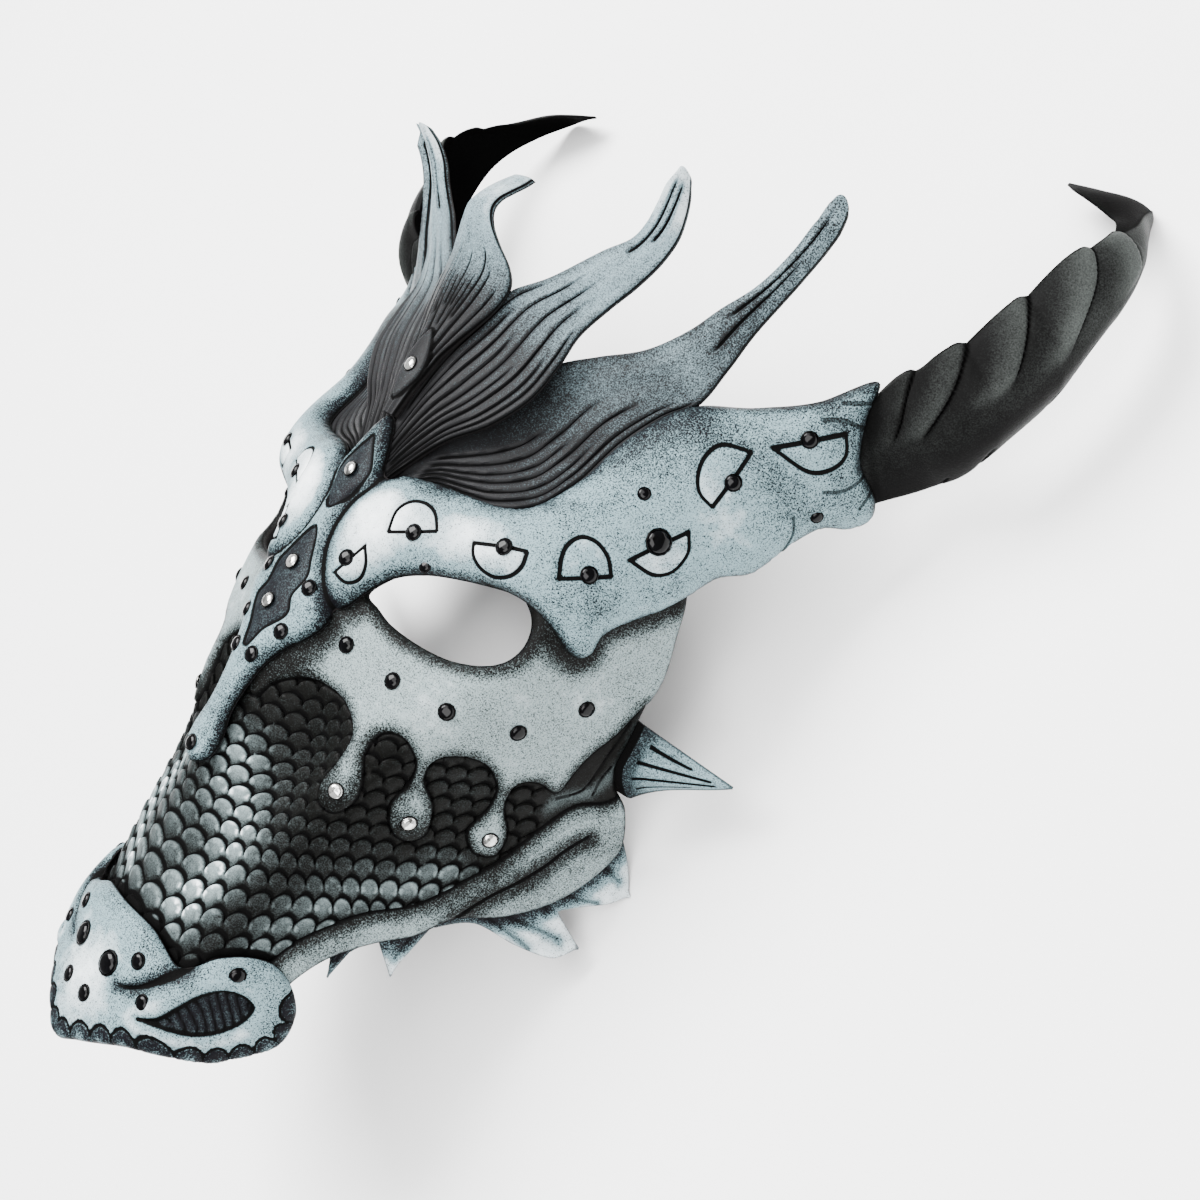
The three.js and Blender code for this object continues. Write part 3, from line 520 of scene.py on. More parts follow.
# Places of the stones, some with a radius
CLEAR_ON_FACE = [[45, -80], [68, -78], [93, -71.5]]
BLACK_ON_CHEEK = [[26, -44], [46, -46], [64, -45], [84, -40], [99, -25]]
BLACK_ON_BROW = [
    [16, -23, MEDIUM_STONE], [32, -7, MEDIUM_STONE], [39, -13.5, SMALL_STONE], [60, 1, MEDIUM_STONE],
    [78, 6, MEDIUM_STONE], [87, 23, LARGE_STONE], [80, 32, SMALL_STONE], [97, 50, MEDIUM_STONE],
    [111, 71.5, MEDIUM_STONE], [122, 57, SMALL_STONE],
]
CLEAR_ON_MIDLINE = [[0, -32], [0, -45], [0, 0]]
CLEAR_ON_TONGUE = [0, 36]
BLACK_ON_TAB = [0, -91]
BLACK_ON_BRIDGE = [[9.6, -36], [8.2, -50.3], [3.4, -60.3]]
BLACK_ON_NOSE = [[8, -157, LARGE_STONE], [17, -150.5, MEDIUM_STONE], [40, -139, MEDIUM_STONE]]
MORE_ON_NOSE = [[5, -168.5, MEDIUM_STONE], [25, -159, MEDIUM_STONE]]

FACE_EDGE = loop(both_sides(FACE_HALF))
EYE_EDGES = [loop(EYE_HOLE), loop(mirror(EYE_HOLE))]
SCALED_EDGE = loop(both_sides(SCALED_HALF))
BROW_EDGE = loop(both_sides(BROW_HALF))
CAP_EDGE = loop(both_sides(NOSE_CAP_HALF))
NOSTRIL_EDGE = loop(NOSTRIL, 1.0)

# Scales: a lattice of rows up the face, whose columns widen towards the nose
SCALE_WIDTH = 6.2
ROW_PITCHES = np.array([[-185, 7.4], [-140, 7.2], [-118, 6.6], [-105, 5.4], [-80, 5.0], [-30, 5.0]])
ROW_PLACES = np.linspace(-240, 20, 1041)
PITCH_AT_PLACE = np.interp(ROW_PLACES, ROW_PITCHES[:, 0], ROW_PITCHES[:, 1])
ROW_COUNTS = np.cumsum((ROW_PLACES[1] - ROW_PLACES[0]) / PITCH_AT_PLACE)
# Distance from the midline to where the rows start to climb and the columns to widen
CROWN_HALF = 14
# How far a scale's rounded edge reaches into the next row, as a share of that row
SCALE_ROUND = 0.62
SCALE_HIGH = 1.5
# The black crescent of painted shadow past a scale's edge: width, how much it swings, least, and turn
CRESCENT_WIDTH = 0.11
CRESCENT_SWING = 0.21
CRESCENT_LEAST = 0.03
CRESCENT_TURN = np.radians(28)


def row_lean(u):
    """How far a row has climbed at a distance u from the midline: a bend from level to a slope."""
    slope, bend = 0.4, 7
    past = u - CROWN_HALF
    return slope / 2 * (np.sqrt(past**2 + bend**2) + past)


def nose_widening(along):
    """How far the columns are pushed outwards, from the middle of the snout to its end."""
    return 6.8 * ease(-along, 96, 116)


def lattice(across, along):
    """Column and row of a place in the lattice of scales."""
    u = np.abs(across)
    row = np.interp(along - row_lean(u), ROW_PLACES, ROW_COUNTS)
    column = (u - nose_widening(along) * np.tanh(u / CROWN_HALF)) / SCALE_WIDTH
    return column * np.sign(across + 1e-9), row


def scale_tips():
    """Points just within and just past the free edge of every scale, worked back from the lattice."""
    rows = np.arange(8, 52)
    columns = np.arange(-26, 27)
    turn = np.linspace(-1, 1, 15) * np.radians(86)
    k, m, a, size = np.meshgrid(rows, columns, turn, [0.93, 1.04, 1.25], indexing="ij")
    column = (m + (k - 1) % 2 / 2 + 0.5 * size * np.sin(a)).ravel()
    row = (k + SCALE_ROUND * size * np.cos(a)).ravel()
    level = np.interp(row, ROW_COUNTS, ROW_PLACES)
    u = np.abs(column) * SCALE_WIDTH
    for _ in range(24):
        along = level + row_lean(u)
        u = np.abs(column) * SCALE_WIDTH + nose_widening(along) * np.tanh(u / CROWN_HALF)
    return np.stack([np.sign(column) * u, level + row_lean(u)], -1)


def chance(number):
    """A value from 0 to 1 that looks random and is always the same for a number."""
    return np.modf(np.abs(np.sin(number * 12.9898)) * 437.585)[0]


def scales(across, along):
    """Height, painted shadow and rubbed crown of the scales: each rises from its root to a rounded free edge
    that stands over the roots of the next row, with a black crescent of painted shadow past the edge and a
    painted highlight just within it. A place belongs to the scale of the row behind it where that scale
    still covers it, or else to its own row's."""
    column, row = lattice(across, along)
    band = np.floor(row)
    above = row - band
    back_column = column - (band - 1) % 2 / 2
    back_off = back_column - np.round(back_column)
    outward = 2 * back_off * np.sign(across + 1e-9)
    reach = np.hypot(outward, above / SCALE_ROUND)
    on_back = reach < 1
    own_column = column - band % 2 / 2
    own_off = own_column - np.round(own_column)
    off = np.where(on_back, back_off, own_off)
    length = np.where(on_back, 1 + above, above)
    lift = 0.1 + 0.9 * np.clip(length / 1.45, 0, 1)
    dome = 1 - (2 * off) ** 2
    lip = np.where(on_back, ease(reach, 0.80, 1.0), 0)
    height = SCALE_HIGH * lift * (0.86 + 0.14 * dome) - 0.3 * lip
    past = np.where(on_back, 9, reach - 1)
    # The black crescent is painted shadow, wider on the side that the turn points to
    way_round = np.arctan2(outward, above / SCALE_ROUND)
    crescent = CRESCENT_WIDTH + CRESCENT_SWING * np.cos(way_round - CRESCENT_TURN)
    crescent = np.maximum(crescent, CRESCENT_LEAST)
    dark = np.maximum(ease(past, crescent * 1.25, crescent * 0.8), ease(reach, 0.95, 1.0) * on_back)
    height = height - 0.35 * ease(past, crescent * 1.2, crescent * 0.5)
    whose = np.where(on_back, np.round(back_column) + 31 * band, np.round(own_column) + 31 * (band + 1))
    tone = 0.82 + 0.36 * chance(whose)
    # Rubbed silver on the crown, and a painted highlight just within the rounded edge
    rubbed_crown_and_highlight = (0.22 + 0.50 * dome) * ease(length, 0.0, 1.2) + 0.85 * bump(reach - 0.82, 0.13) * on_back
    rubbed_crown_and_highlight = rubbed_crown_and_highlight * tone * (1 - 0.6 * ease(reach, 0.9, 1.0) * on_back)
    return height, dark, rubbed_crown_and_highlight


def line_cut(gap, half):
    """A tooled line with a flat black bottom, from the distance to its middle."""
    return ease(gap, half + 0.4, half * 0.6)


def most(*shares):
    """The largest of several marks at each place."""
    return np.maximum.reduce(shares)


# How deep the scaled field is sunk, and how high the smooth band behind it stands in that field
FIELD_DEPTH = 2.05
BAND_HIGH = 0.9
# The cut edges of the face are rounded over this distance, by this much
FACE_ROUND = 2.0
FACE_DROP = 1.5
# The paint is thin over the middle of the two inner drops
DROP_MIDDLES = [np.array([[44.5, -84], [45, -83]]), np.array([[68, -81.5], [68, -80.5]])]


def face_relief(across, along):
    """The face: smooth silver cheeks, sunk scales, jaw bands with a leaf, and rolled cut edges."""
    u = np.abs(across)
    rim = distance(across, along, [FACE_EDGE] + EYE_EDGES)
    eye = distance(u, along, EYE_EDGES[:1])
    in_scales = inside(u, along, SCALED_EDGE)
    drip = distance(u, along, [SCALED_EDGE])
    signed = np.where(in_scales, drip, -drip)
    tile, dark, rubbed_crown_and_highlight = scales(across, along)
    smooth_band = ease(u + 0.5 * (along + 50), 99, 104)
    tile = tile * (1 - smooth_band) + BAND_HIGH * smooth_band
    dark = dark * (1 - smooth_band)
    rubbed_crown_and_highlight = rubbed_crown_and_highlight * (1 - smooth_band)
    sunk = ease(signed, -0.7, 0.6)
    vein = line_distance(u, along, [JAW_LEAF_VEIN], 1.5)
    vein_cut = line_cut(vein, 0.45)
    leaf_edge = line_distance(u, along, [JAW_LEAF_INSET], 1.5)
    leaf_cut = line_cut(leaf_edge, 0.25)
    band = line_distance(u, along, BAND_LINES, 1.5)
    band_cut = line_cut(band, 0.35) * smooth_band
    leaf_swell = 0.5 * bump(vein - 5, 4)
    cheek_swell = 0.35 * ease(-signed, 0.8, 3.5)
    height = LEATHER - 0.35 + (cheek_swell + leaf_swell) * (1 - sunk) - sunk * FIELD_DEPTH + sunk * tile
    seam = line_cut(np.abs(signed - 0.15), 0.45)
    height = height - 0.5 * seam * (1 - 0.5 * smooth_band) - 0.7 * vein_cut
    height = height - 0.4 * leaf_cut * (1 - sunk) - 0.5 * band_cut
    height = height - FACE_DROP * (1 - np.clip(rim / FACE_ROUND, 0, 1)) ** 2

    under_brow = distance(u, along, [BROW_EDGE])
    tucked = inside(u, along, BROW_EDGE)
    # Painted shade: darker under the brow, around the eye holes, along the cheek's drip edge and beside the
    # midline under the brow
    silver = 0.15 + 0.77 * ease(np.where(tucked, 0, under_brow), 1.0, 9)
    silver = silver * (0.25 + 0.75 * ease(eye, 0.8, 5.5))
    silver = silver * (0.45 + 0.55 * ease(-signed, 0.6, 4.5))
    silver = silver * (1 - 0.55 * bump(u - 8, 11) * ease(along, -72, -50))
    silver = silver * (1 - 0.75 * bump(distance(u, along, DROP_MIDDLES), 6.5))
    silver = silver - 0.55 * bump(vein - 1.2, 2.6) - 0.20 * ease(0.8 * u - along, 146, 160)
    # lit holds painted highlights along the snout's ridge, on the jaw and down the middle towards the nose,
    # and painted shade at the foot of the drip edge and towards the brow
    ridge = line_distance(u, along, [SNOUT_RIDGE], 2)
    sheen = line_distance(u, along, [JAW_SHEEN], 2)
    lit = 0.22 + 0.95 * bump(ridge, 8) + 0.70 * bump(sheen, 8) + 0.38 * bump(u, 12) * ease(-along, 95, 112)
    lit = lit * (0.55 + 0.45 * ease(signed, 1, 8)) * (0.6 + 0.4 * ease(-along, 72, 95))
    # A painted sheen along the middle of the smooth band
    band_ridge = line_distance(u, along, [BAND_RIDGE], 2)
    silver = silver * (1 - sunk) + (rubbed_crown_and_highlight * lit + 0.42 * smooth_band * bump(band_ridge, 2.6)) * sunk
    # A black band of painted shadow in the gap under the nose cap's edge
    beside_cap = ease(distance(u, along, [CAP_EDGE]), 2.8, 1.4) * sunk
    black_rim = 0.85 * (1 - ease(rim, 0.2, 1.6))
    cavity = most(dark * sunk, seam, vein_cut, leaf_cut * (1 - sunk), band_cut, black_rim, beside_cap)
    return height, silver, cavity, np.maximum(sunk, 0.25)


def rolled(edge, reach, drop):
    """A quarter-round edge: full height beyond the reach and lower by the drop at the cut."""
    t = 1 - np.clip(edge / reach, 0, 1)
    return drop * (1 - np.sqrt(np.clip(1 - t * t, 0, 1)))


# The two layers over the face: how high they swell, over what distance from their edge, and how far
# in and how far down that edge is rolled
BROW_LAYER = {"edge": BROW_EDGE, "swell": 4, "reach": 10, "roll": (2.4, 2.2)}
CAP_LAYER = {"edge": CAP_EDGE, "swell": 1.5, "reach": 8, "roll": (1.8, 1.9)}


def swelling(layer, across, along):
    """A layer swells up from its edge like a cushion and stays flatter along the bridge. The distance
    from the edge comes with it."""
    edge = distance(across, along, [layer["edge"]])
    t = np.clip(edge / layer["reach"], 0, 1)
    return layer["swell"] * (0.3 + 0.7 * ease(np.abs(across), 6, 20)) * (1 - (1 - t) ** 2), edge


def plain_face(layer, across, along):
    """Height of a layer's face before anything is tooled into it, and the distance from its edge."""
    swell, edge = swelling(layer, across, along)
    return UPPER_BASE + UPPER_THICKNESS + swell - rolled(edge, *layer["roll"]), edge


def hollow_back(layer, across, along):
    """A layer's back follows most of the swelling of its face."""
    return UPPER_BASE + 0.85 * swelling(layer, across, along)[0]


# Painted highlights on the brow, and one spot of painted shade: where they are, how much a distance along the
# face counts, how large they are and how much lighter or darker they make it
BROW_HIGHLIGHTS_AND_SHADE = [
    (17, -9, 0.8, 11, 0.50), (48, 2, 1, 11, 0.35), (92, 14, 1, 14, 0.24), (100, 40, 1, 12, 0.25),
    (18, -36, 1, 6, -0.50),
]


def brow_relief(across, along):
    """The brow plate: a rolled cushion with tooled half discs, sunk lenses and the bridge's crevices."""
    u = np.abs(across)
    height, edge = plain_face(BROW_LAYER, across, along)
    lens_edges = [loop(both_sides(lens), 1.0) for lens in LENSES]
    lens_line = distance(across, along, lens_edges)
    in_lens = inside(across, along, lens_edges[0]) | inside(across, along, lens_edges[1])
    sunk = np.where(in_lens, ease(lens_line, 0, 0.7), 0)
    tooled = line_distance(u, along, DISC_LINES)
    creases = line_distance(u, along, SLEEVE_CREASES)
    crevice = line_distance(u, along, [CREVICE])
    seam = line_distance(u, along, [BROW_SEAM], 1.5)
    lines = most(line_cut(tooled, 0.45), line_cut(lens_line, 0.45), 0.9 * line_cut(creases, 0.4))
    in_disc = np.zeros(len(u), bool)
    for disc in HALF_DISCS:
        in_disc |= inside(u, along, loop(disc, 1.0))
    strip = ease(crevice, 0.2, 3.0)
    height = height - 1.7 * (1 - strip) - 0.5 * lines - 0.5 * sunk - 0.5 * bump(seam, 0.9)
    sleeve = ease(along + 0.35 * (u - 120), 66, 82) * ease(u, 100, 112)
    gathers = np.sin(1.1 * (u * 0.62 - along * 0.78))
    height = height + 0.25 * gathers * sleeve

    # Painted shade beside the crevices and the seam; the half discs are lighter
    silver = 0.88 - 0.60 * bump(crevice, 2.6) - 0.30 * bump(seam, 4.0) + 0.14 * in_disc
    # Painted shade where the brow meets the crest
    at_crest = ease(along - 0.30 * u, 2, 14) * ease(edge, 14, 1) * ease(u, 98, 82)
    silver = silver - 0.55 * at_crest
    # Painted highlights and painted shade from the table above
    for spot_across, spot_along, counts, size, paint in BROW_HIGHLIGHTS_AND_SHADE:
        silver = silver + paint * bump(np.hypot(u - spot_across, (along - spot_along) * counts), size)
    # Painted shade over the gathered sleeve, towards the outer end and along the rolled edges
    silver = silver - 0.25 * sleeve - 0.16 * ease(u, 58, 84) * ease(edge, 3, 8)
    silver = silver * (0.88 + 0.12 * ease(edge, 1.0, 8.0))
    silver = silver * (0.45 + 0.55 * ease(edge, 0.2, 2.6))
    silver = np.where(in_lens, 0.22, silver)
    black_rim = 0.9 * (1 - ease(edge, 0.05, 0.7))
    cavity = most(lines, line_cut(crevice, 0.8), 0.5 * bump(seam, 0.8), black_rim)
    return height, silver, cavity, np.where(in_lens, 0.6, 0.0)


# The lip of the nose cap, how many scallops half of it holds and how far each reaches from it
LIP_LINE = [
    [0, -185], [5.5, -182.4], [13.8, -178], [25.3, -172.6], [32.4, -169.5], [39.1, -167.2], [45.2, -165],
    [51.5, -161.5], [57.2, -156.7], [60.5, -152], [61.7, -146.2], [60.2, -141],
]
LIP_SCALLOPS = 10.5
SCALLOP_REACH = 4.6
# Ribs in the nostrils: how far apart they are, and which way they follow each other
RIB_PITCH = 2.6
RIB_WAY = (0.75, 0.66)
NOSE_SCROLL = [[14, -160], [17.5, -158.6], [21.9, -155.6], [25.6, -151.7], [28, -147.5], [29.6, -143.6]]


def along_path(across, along, path):
    """Distance from a path, and how far along it the nearest place is."""
    starts, runs = path[:-1], np.diff(path, axis=0)
    size = np.linalg.norm(runs, axis=1)
    before = np.concatenate([[0], np.cumsum(size)[:-1]])
    ds = across[:, None] - starts[:, 0]
    dy = along[:, None] - starts[:, 1]
    t = np.clip((ds * runs[:, 0] + dy * runs[:, 1]) / size**2, 0, 1)
    gap = np.hypot(ds - t * runs[:, 0], dy - t * runs[:, 1])
    near = gap.argmin(1)
    pick = np.arange(len(across)), near
    return gap[pick], (before + t * size)[pick] / size.sum()


def cap_relief(across, along):
    """The nose cap: half-round scallops along its lip, a ribbed sunk nostril and a scroll groove above."""
    u = np.abs(across)
    height, _ = plain_face(CAP_LAYER, across, along)
    lip, place = along_path(u, along, walk(LIP_LINE, 1.5, False))
    turn = place * LIP_SCALLOPS
    off = turn - np.floor(turn) - 0.5
    reach = np.hypot(2 * off, lip / SCALLOP_REACH)
    in_scallop = ease(reach, 1.0, 0.9)
    scallop_line = ease(np.abs(reach - 1.06), 0.21, 0.09) * (lip < 7)
    nostril = distance(u, along, [NOSTRIL_EDGE])
    in_nostril = inside(u, along, NOSTRIL_EDGE)
    signed = np.where(in_nostril, nostril, -nostril)
    sunk = ease(signed, -0.2, 1.3)
    ribs = 0.5 + 0.5 * np.cos(2 * np.pi * (u * RIB_WAY[0] + along * RIB_WAY[1]) / RIB_PITCH)
    scroll = line_distance(u, along, [NOSE_SCROLL])
    scroll_cut = line_cut(scroll, 0.35 + 0.75 * ease(u, 14, 27))
    upper = ease(along + 0.1 * u, -147.5, -144.5)
    rim_swell = 0.6 * bump(signed + 2.2, 1.6)
    height = height - 1.9 * sunk + 0.55 * ribs * sunk + rim_swell - 1.2 * scroll_cut - 0.5 * scallop_line
    height = height - 0.15 * in_scallop * ease(reach, 0.2, 0.9)
    # A painted highlight over the tip of the nose
    silver = 0.88 - 0.55 * bump(scroll, 2.6) + 0.35 * bump(np.hypot(u, along + 165), 13)
    silver = silver + 0.16 * bump(signed + 2.2, 1.8) - 0.12 * upper
    silver = silver - in_scallop * (0.32 + 0.45 * ease(reach, 0.1, 0.8))
    silver = silver * (1 - sunk) + 0.22 * ribs * sunk
    between_ribs = 0.95 * (1 - ribs) ** 3 * sunk
    cavity = most(scallop_line, scroll_cut, between_ribs, line_cut(np.abs(signed - 0.4), 0.5))
    return height, silver, cavity, 0.8 * sunk


# The frill's back hangs this far off the form, under the face
FRILL_BASE = -THIN_LEATHER - LAYER_GAP - GAP
FRILL_VEINS = [
    [[118, -66], [130, -64], [141, -66]], [[116, -72], [127, -77], [137, -75]], [[112, -80], [122, -84]],
    [[100, -90], [113, -91], [129, -90]], [[98, -93], [110, -95], [121, -96.5]], [[122, -55], [132, -55]],
    [[86, -99], [85, -109], [83, -118]], [[74, -109], [72, -116]], [[67, -118], [67, -126]],
]


def frill_flare(across, along):
    """The frill lies against the jaw and turns up past the jaw's edge towards its tips."""
    jaw = distance(across, along, [FACE_EDGE])
    outside = across > 135 + 0.95 * np.minimum(0, along + 55)
    return np.where(outside, 0.12 * np.maximum(jaw - 8, 0) ** 2, 0), jaw


def frill_relief(across, along):
    """The frill: a thin leaf with cut veins, with painted shade where the jaw lies on it and painted
    highlights towards its tips.
    """
    flare, jaw = frill_flare(across, along)
    edge = distance(across, along, [loop(FRILL)])
    veins = line_distance(across, along, FRILL_VEINS)
    line = line_cut(veins, 0.3)
    height = FRILL_BASE + THIN_LEATHER + flare - rolled(edge, 1.4, 1.3) - 0.6 * line
    hidden = inside(across, along, FACE_EDGE)
    # Painted shade close to the jaw's edge and under it, painted highlights towards the tips
    silver = np.where(hidden, 0.1, 0.2 + 1.0 * ease(jaw, 0.5, 8)) - 0.3 * bump(veins, 1.6)
    cavity = np.maximum(line, 0.7 * (1 - ease(edge, 0.05, 0.6)))
    return height, silver, cavity, np.zeros(len(across))


def frill_back(across, along):
    """The back turns up with the face of the frill."""
    return FRILL_BASE + frill_flare(across, along)[0]


# Sheets that run between two edge curves
def sheet(rows, columns, face, back):
    """A closed sheet: face and back give points for t along it and u across it, and a rim joins them."""
    t, u = np.meshgrid(np.linspace(0, 1, rows + 1), np.linspace(0, 1, columns + 1), indexing="ij")
    points = np.concatenate([face(t, u).reshape(-1, 3), back(t, u).reshape(-1, 3)])
    ids = np.arange((rows + 1) * (columns + 1)).reshape(rows + 1, columns + 1)
    under = ids + ids.size
    a, b, c, d = ids[:-1, :-1].ravel(), ids[:-1, 1:].ravel(), ids[1:, 1:].ravel(), ids[1:, :-1].ravel()
    top = np.stack([a, b, c, d], -1)
    low = np.stack([a, d, c, b], -1) + ids.size

    def rim(line, other):
        return np.stack([line[:-1], other[:-1], other[1:], line[1:]], -1)

    sides = [rim(ids[0], under[0]), rim(ids[-1, ::-1], under[-1, ::-1])]
    sides += [rim(ids[::-1, 0], under[::-1, 0]), rim(ids[:, -1], under[:, -1])]
    return points, [np.concatenate([top, low] + sides)], t, u


def sheet_marks(silver, cavity, smooth):
    """Marks for a sheet: those of its face, then a plain back."""
    blank = np.zeros(silver.size)
    return {
        "silver": np.concatenate([silver.ravel(), blank]),
        "cavity": np.concatenate([cavity.ravel(), blank]),
        "smooth": np.concatenate([blank + np.ravel(smooth), blank]),
        "inner": np.concatenate([blank, blank + 1]),
    }


def from_edge(u, width):
    """Distance of a place across a sheet from the nearer of its two long edges."""
    return np.minimum(u, 1 - u) * width


def arched(u):
    """0 at both long edges of a sheet and 1 halfway between them."""
    return 1 - (2 * u - 1) ** 2


def cuts(t, u, width, lines):
    """Tooled lines that run along a sheet; each has its place across at its start and its end,
    and the two places along the sheet where it starts and stops."""
    cut = np.zeros_like(t)
    for start, end, first, last in lines:
        share = np.clip((t - first) / (last - first), 0, 1)
        off = (u - (start + (end - start) * share)) * width
        window = ease(t, first - 0.01, first + 0.03) * ease(t, last + 0.01, last - 0.06)
        cut = np.maximum(cut, line_cut(np.abs(off), 0.12 + 0.38 * (1 - share)) * window)
    return cut


# The two side spikes of the crest: inner and outer edge, each point with its height off the form, the
# lines cut along them and how much paint they hold
INNER_SPIKE = {
    "inner": [
        [1, 6, 0.8], [1, 20, 0.8], [2, 34, 0.5], [4, 46, 0], [8, 57, -0.5], [13, 68, 0],
        [23.8, 76.5, 3.8], [36.7, 89.3, 8.7], [43.7, 95.4, 11.4], [46.4, 100, 14], [48.1, 106, 17.4],
        [49.8, 110.7, 21.6], [52.8, 113.8, 25.4],
    ],
    "outer": [
        [7, -1, 0.8], [12, 8, 1], [20.5, 20, 3], [31, 29, 6.5], [39.1, 41.4, 9.5], [41.1, 54.1, 8.8],
        [41.5, 64.7, 7.3], [45.9, 75, 8.1], [51.5, 84, 10.9], [55.6, 92.5, 13.3], [57.9, 100, 16],
        [58.4, 106, 19.6], [58.3, 110, 22.8], [57.6, 112.7, 25.2],
    ],
    "lines": [
        (0.08, 0.10, 0.10, 0.50), (0.20, 0.20, 0.06, 0.42), (0.32, 0.30, 0.05, 0.55),
        (0.44, 0.42, 0.04, 0.38), (0.54, 0.52, 0.04, 0.56), (0.64, 0.64, 0.03, 0.34),
        (0.74, 0.72, 0.03, 0.52), (0.84, 0.84, 0.02, 0.40), (0.93, 0.92, 0.02, 0.48),
        (0.30, 0.42, 0.62, 0.97), (0.52, 0.70, 0.70, 0.97),
    ],
    "paint": 1.04,
}
OUTER_SPIKE = {
    "inner": [
        [5, 8, -3], [10, 14, -3], [15, 20, -3], [20, 27, -3], [25, 34, -3], [29, 42, -3], [33, 50, -2],
        [37.3, 56, -0.3], [47.7, 62.9, 1.7], [60.3, 70.3, 4.8], [69.8, 80.1, 7.5], [76, 89, 10.2],
        [83, 98.6, 12.3], [88.6, 110, 15.2], [92.4, 118.5, 19.8], [94.8, 121.2, 22.6],
    ],
    "outer": [
        [10, -3, -3], [18, 3, -1], [26, 6, 0.8], [37.8, 6.6, 1], [46.8, 7.6, 1], [58, 14, 1],
        [62.5, 24, 1], [67.5, 42.5, 1.2], [74.5, 55.5, 2.2], [81, 63.2, 3.6], [84.4, 75.6, 5.3],
        [87.4, 87.6, 8.2], [93.5, 104, 12.4], [98.2, 115.3, 17], [100.1, 119.9, 20.6],
        [99.6, 121, 22.4],
    ],
    "lines": [
        (0.35, 0.40, 0.12, 0.40), (0.46, 0.52, 0.10, 0.50), (0.56, 0.62, 0.08, 0.44),
        (0.65, 0.72, 0.07, 0.54), (0.74, 0.80, 0.06, 0.46), (0.83, 0.88, 0.06, 0.58),
        (0.92, 0.95, 0.06, 0.62), (0.34, 0.50, 0.72, 0.97), (0.62, 0.62, 0.66, 0.86),
    ],
    "paint": 0.62,
}
SPIKE_CAMBER = 1.6
TIP_ROUNDNESS = 2.4
# The cut edge of every lock is rounded over this distance, by the same amount
LOCK_ROUND = 1.0


def spike(shape):
    """A leather spike between its two edges, cambered towards its rounded tip, with locks cut along it."""
    last_way = sum(shape[side][-1] - curve_at(shape[side], 0.96) for side in ("inner", "outer"))
    tip_way = last_way / np.linalg.norm(last_way)

    def edges(t):
        return curve_at(shape["inner"], t), curve_at(shape["outer"], t)

    def place(t, u, lift):
        inner, outer = edges(t)
        p = inner + (outer - inner) * u[..., None]
        at_tip = np.clip((t - 0.9) / 0.1, 0, 1) ** 2
        grown = TIP_ROUNDNESS * np.sqrt(np.clip(arched(u), 0, 1)) * at_tip
        p = p + tip_way * grown[..., None]
        camber = SPIKE_CAMBER * np.sin(np.pi * u) * ease(t, 0.35, 0.75)
        return on_form(p[..., 0], p[..., 1], p[..., 2] + lift + camber)

    def width(t):
        inner, outer = edges(t)
        return np.linalg.norm(outer - inner, axis=-1)

    def locks(t, u):
        wave = 0.30 * np.cos(2 * np.pi * 3 * u) * (1 - t)
        rounded = rolled(from_edge(u, width(t)), LOCK_ROUND, LOCK_ROUND)
        return wave - 0.8 * cuts(t, u, width(t), shape["lines"]) - rounded

    points, faces, t, u = sheet(
        200, 72, lambda t, u: place(t, u, THIN_LEATHER + locks(t, u)), lambda t, u: place(t, u, 0.0))
    edge = from_edge(u, width(t))
    cut = cuts(t, u, width(t), shape["lines"])
    silver = 0.07 + shape["paint"] * (0.75 * ease(t, 0.12, 0.66) + 0.25 * ease(t, 0.6, 0.95))
    silver = silver - 0.25 * ease(edge, 3.0, 0.0) * ease(t, 0.85, 0.45)
    silver = silver - 0.25 * cuts(t, u, width(t) * 0.4, shape["lines"])
    cavity = np.maximum(cut, 0.85 * ease(edge, 0.6, 0.1))
    return points, faces, sheet_marks(silver, cavity, 0.5 * ease(t, 0.95, 0.5))


# The curled tongue in the middle of the crest: place along, half width, height of its face off the form
TONGUE = [
    [20, 2.4, 7], [30, 3.6, 7.1], [36, 4.9, 7.1], [42, 6.2, 7.1], [48, 8.5, 7.1], [54, 11.1, 7.1],
    [60, 13.4, 7.1], [66, 14.6, 7.1], [70, 14.2, 7.2], [74, 11.9, 8.3], [78, 8.2, 10.9],
    [82, 5.5, 13.3], [86, 4.3, 14.6], [90, 3.9, 13.5], [94, 4.3, 11.2], [98, 4.5, 8.4], [101, 4, 6.2],
]
# Lines cut along it
TONGUE_LINES = [
    (0.50, 0.50, 0.36, 0.70), (0.40, 0.36, 0.30, 0.62), (0.60, 0.64, 0.30, 0.62), (0.26, 0.22, 0.20, 0.66),
    (0.74, 0.78, 0.20, 0.66), (0.12, 0.10, 0.16, 0.60), (0.88, 0.90, 0.16, 0.60), (0.33, 0.28, 0.40, 0.72),
    (0.67, 0.72, 0.40, 0.72), (0.45, 0.43, 0.44, 0.60), (0.55, 0.57, 0.44, 0.60),
]


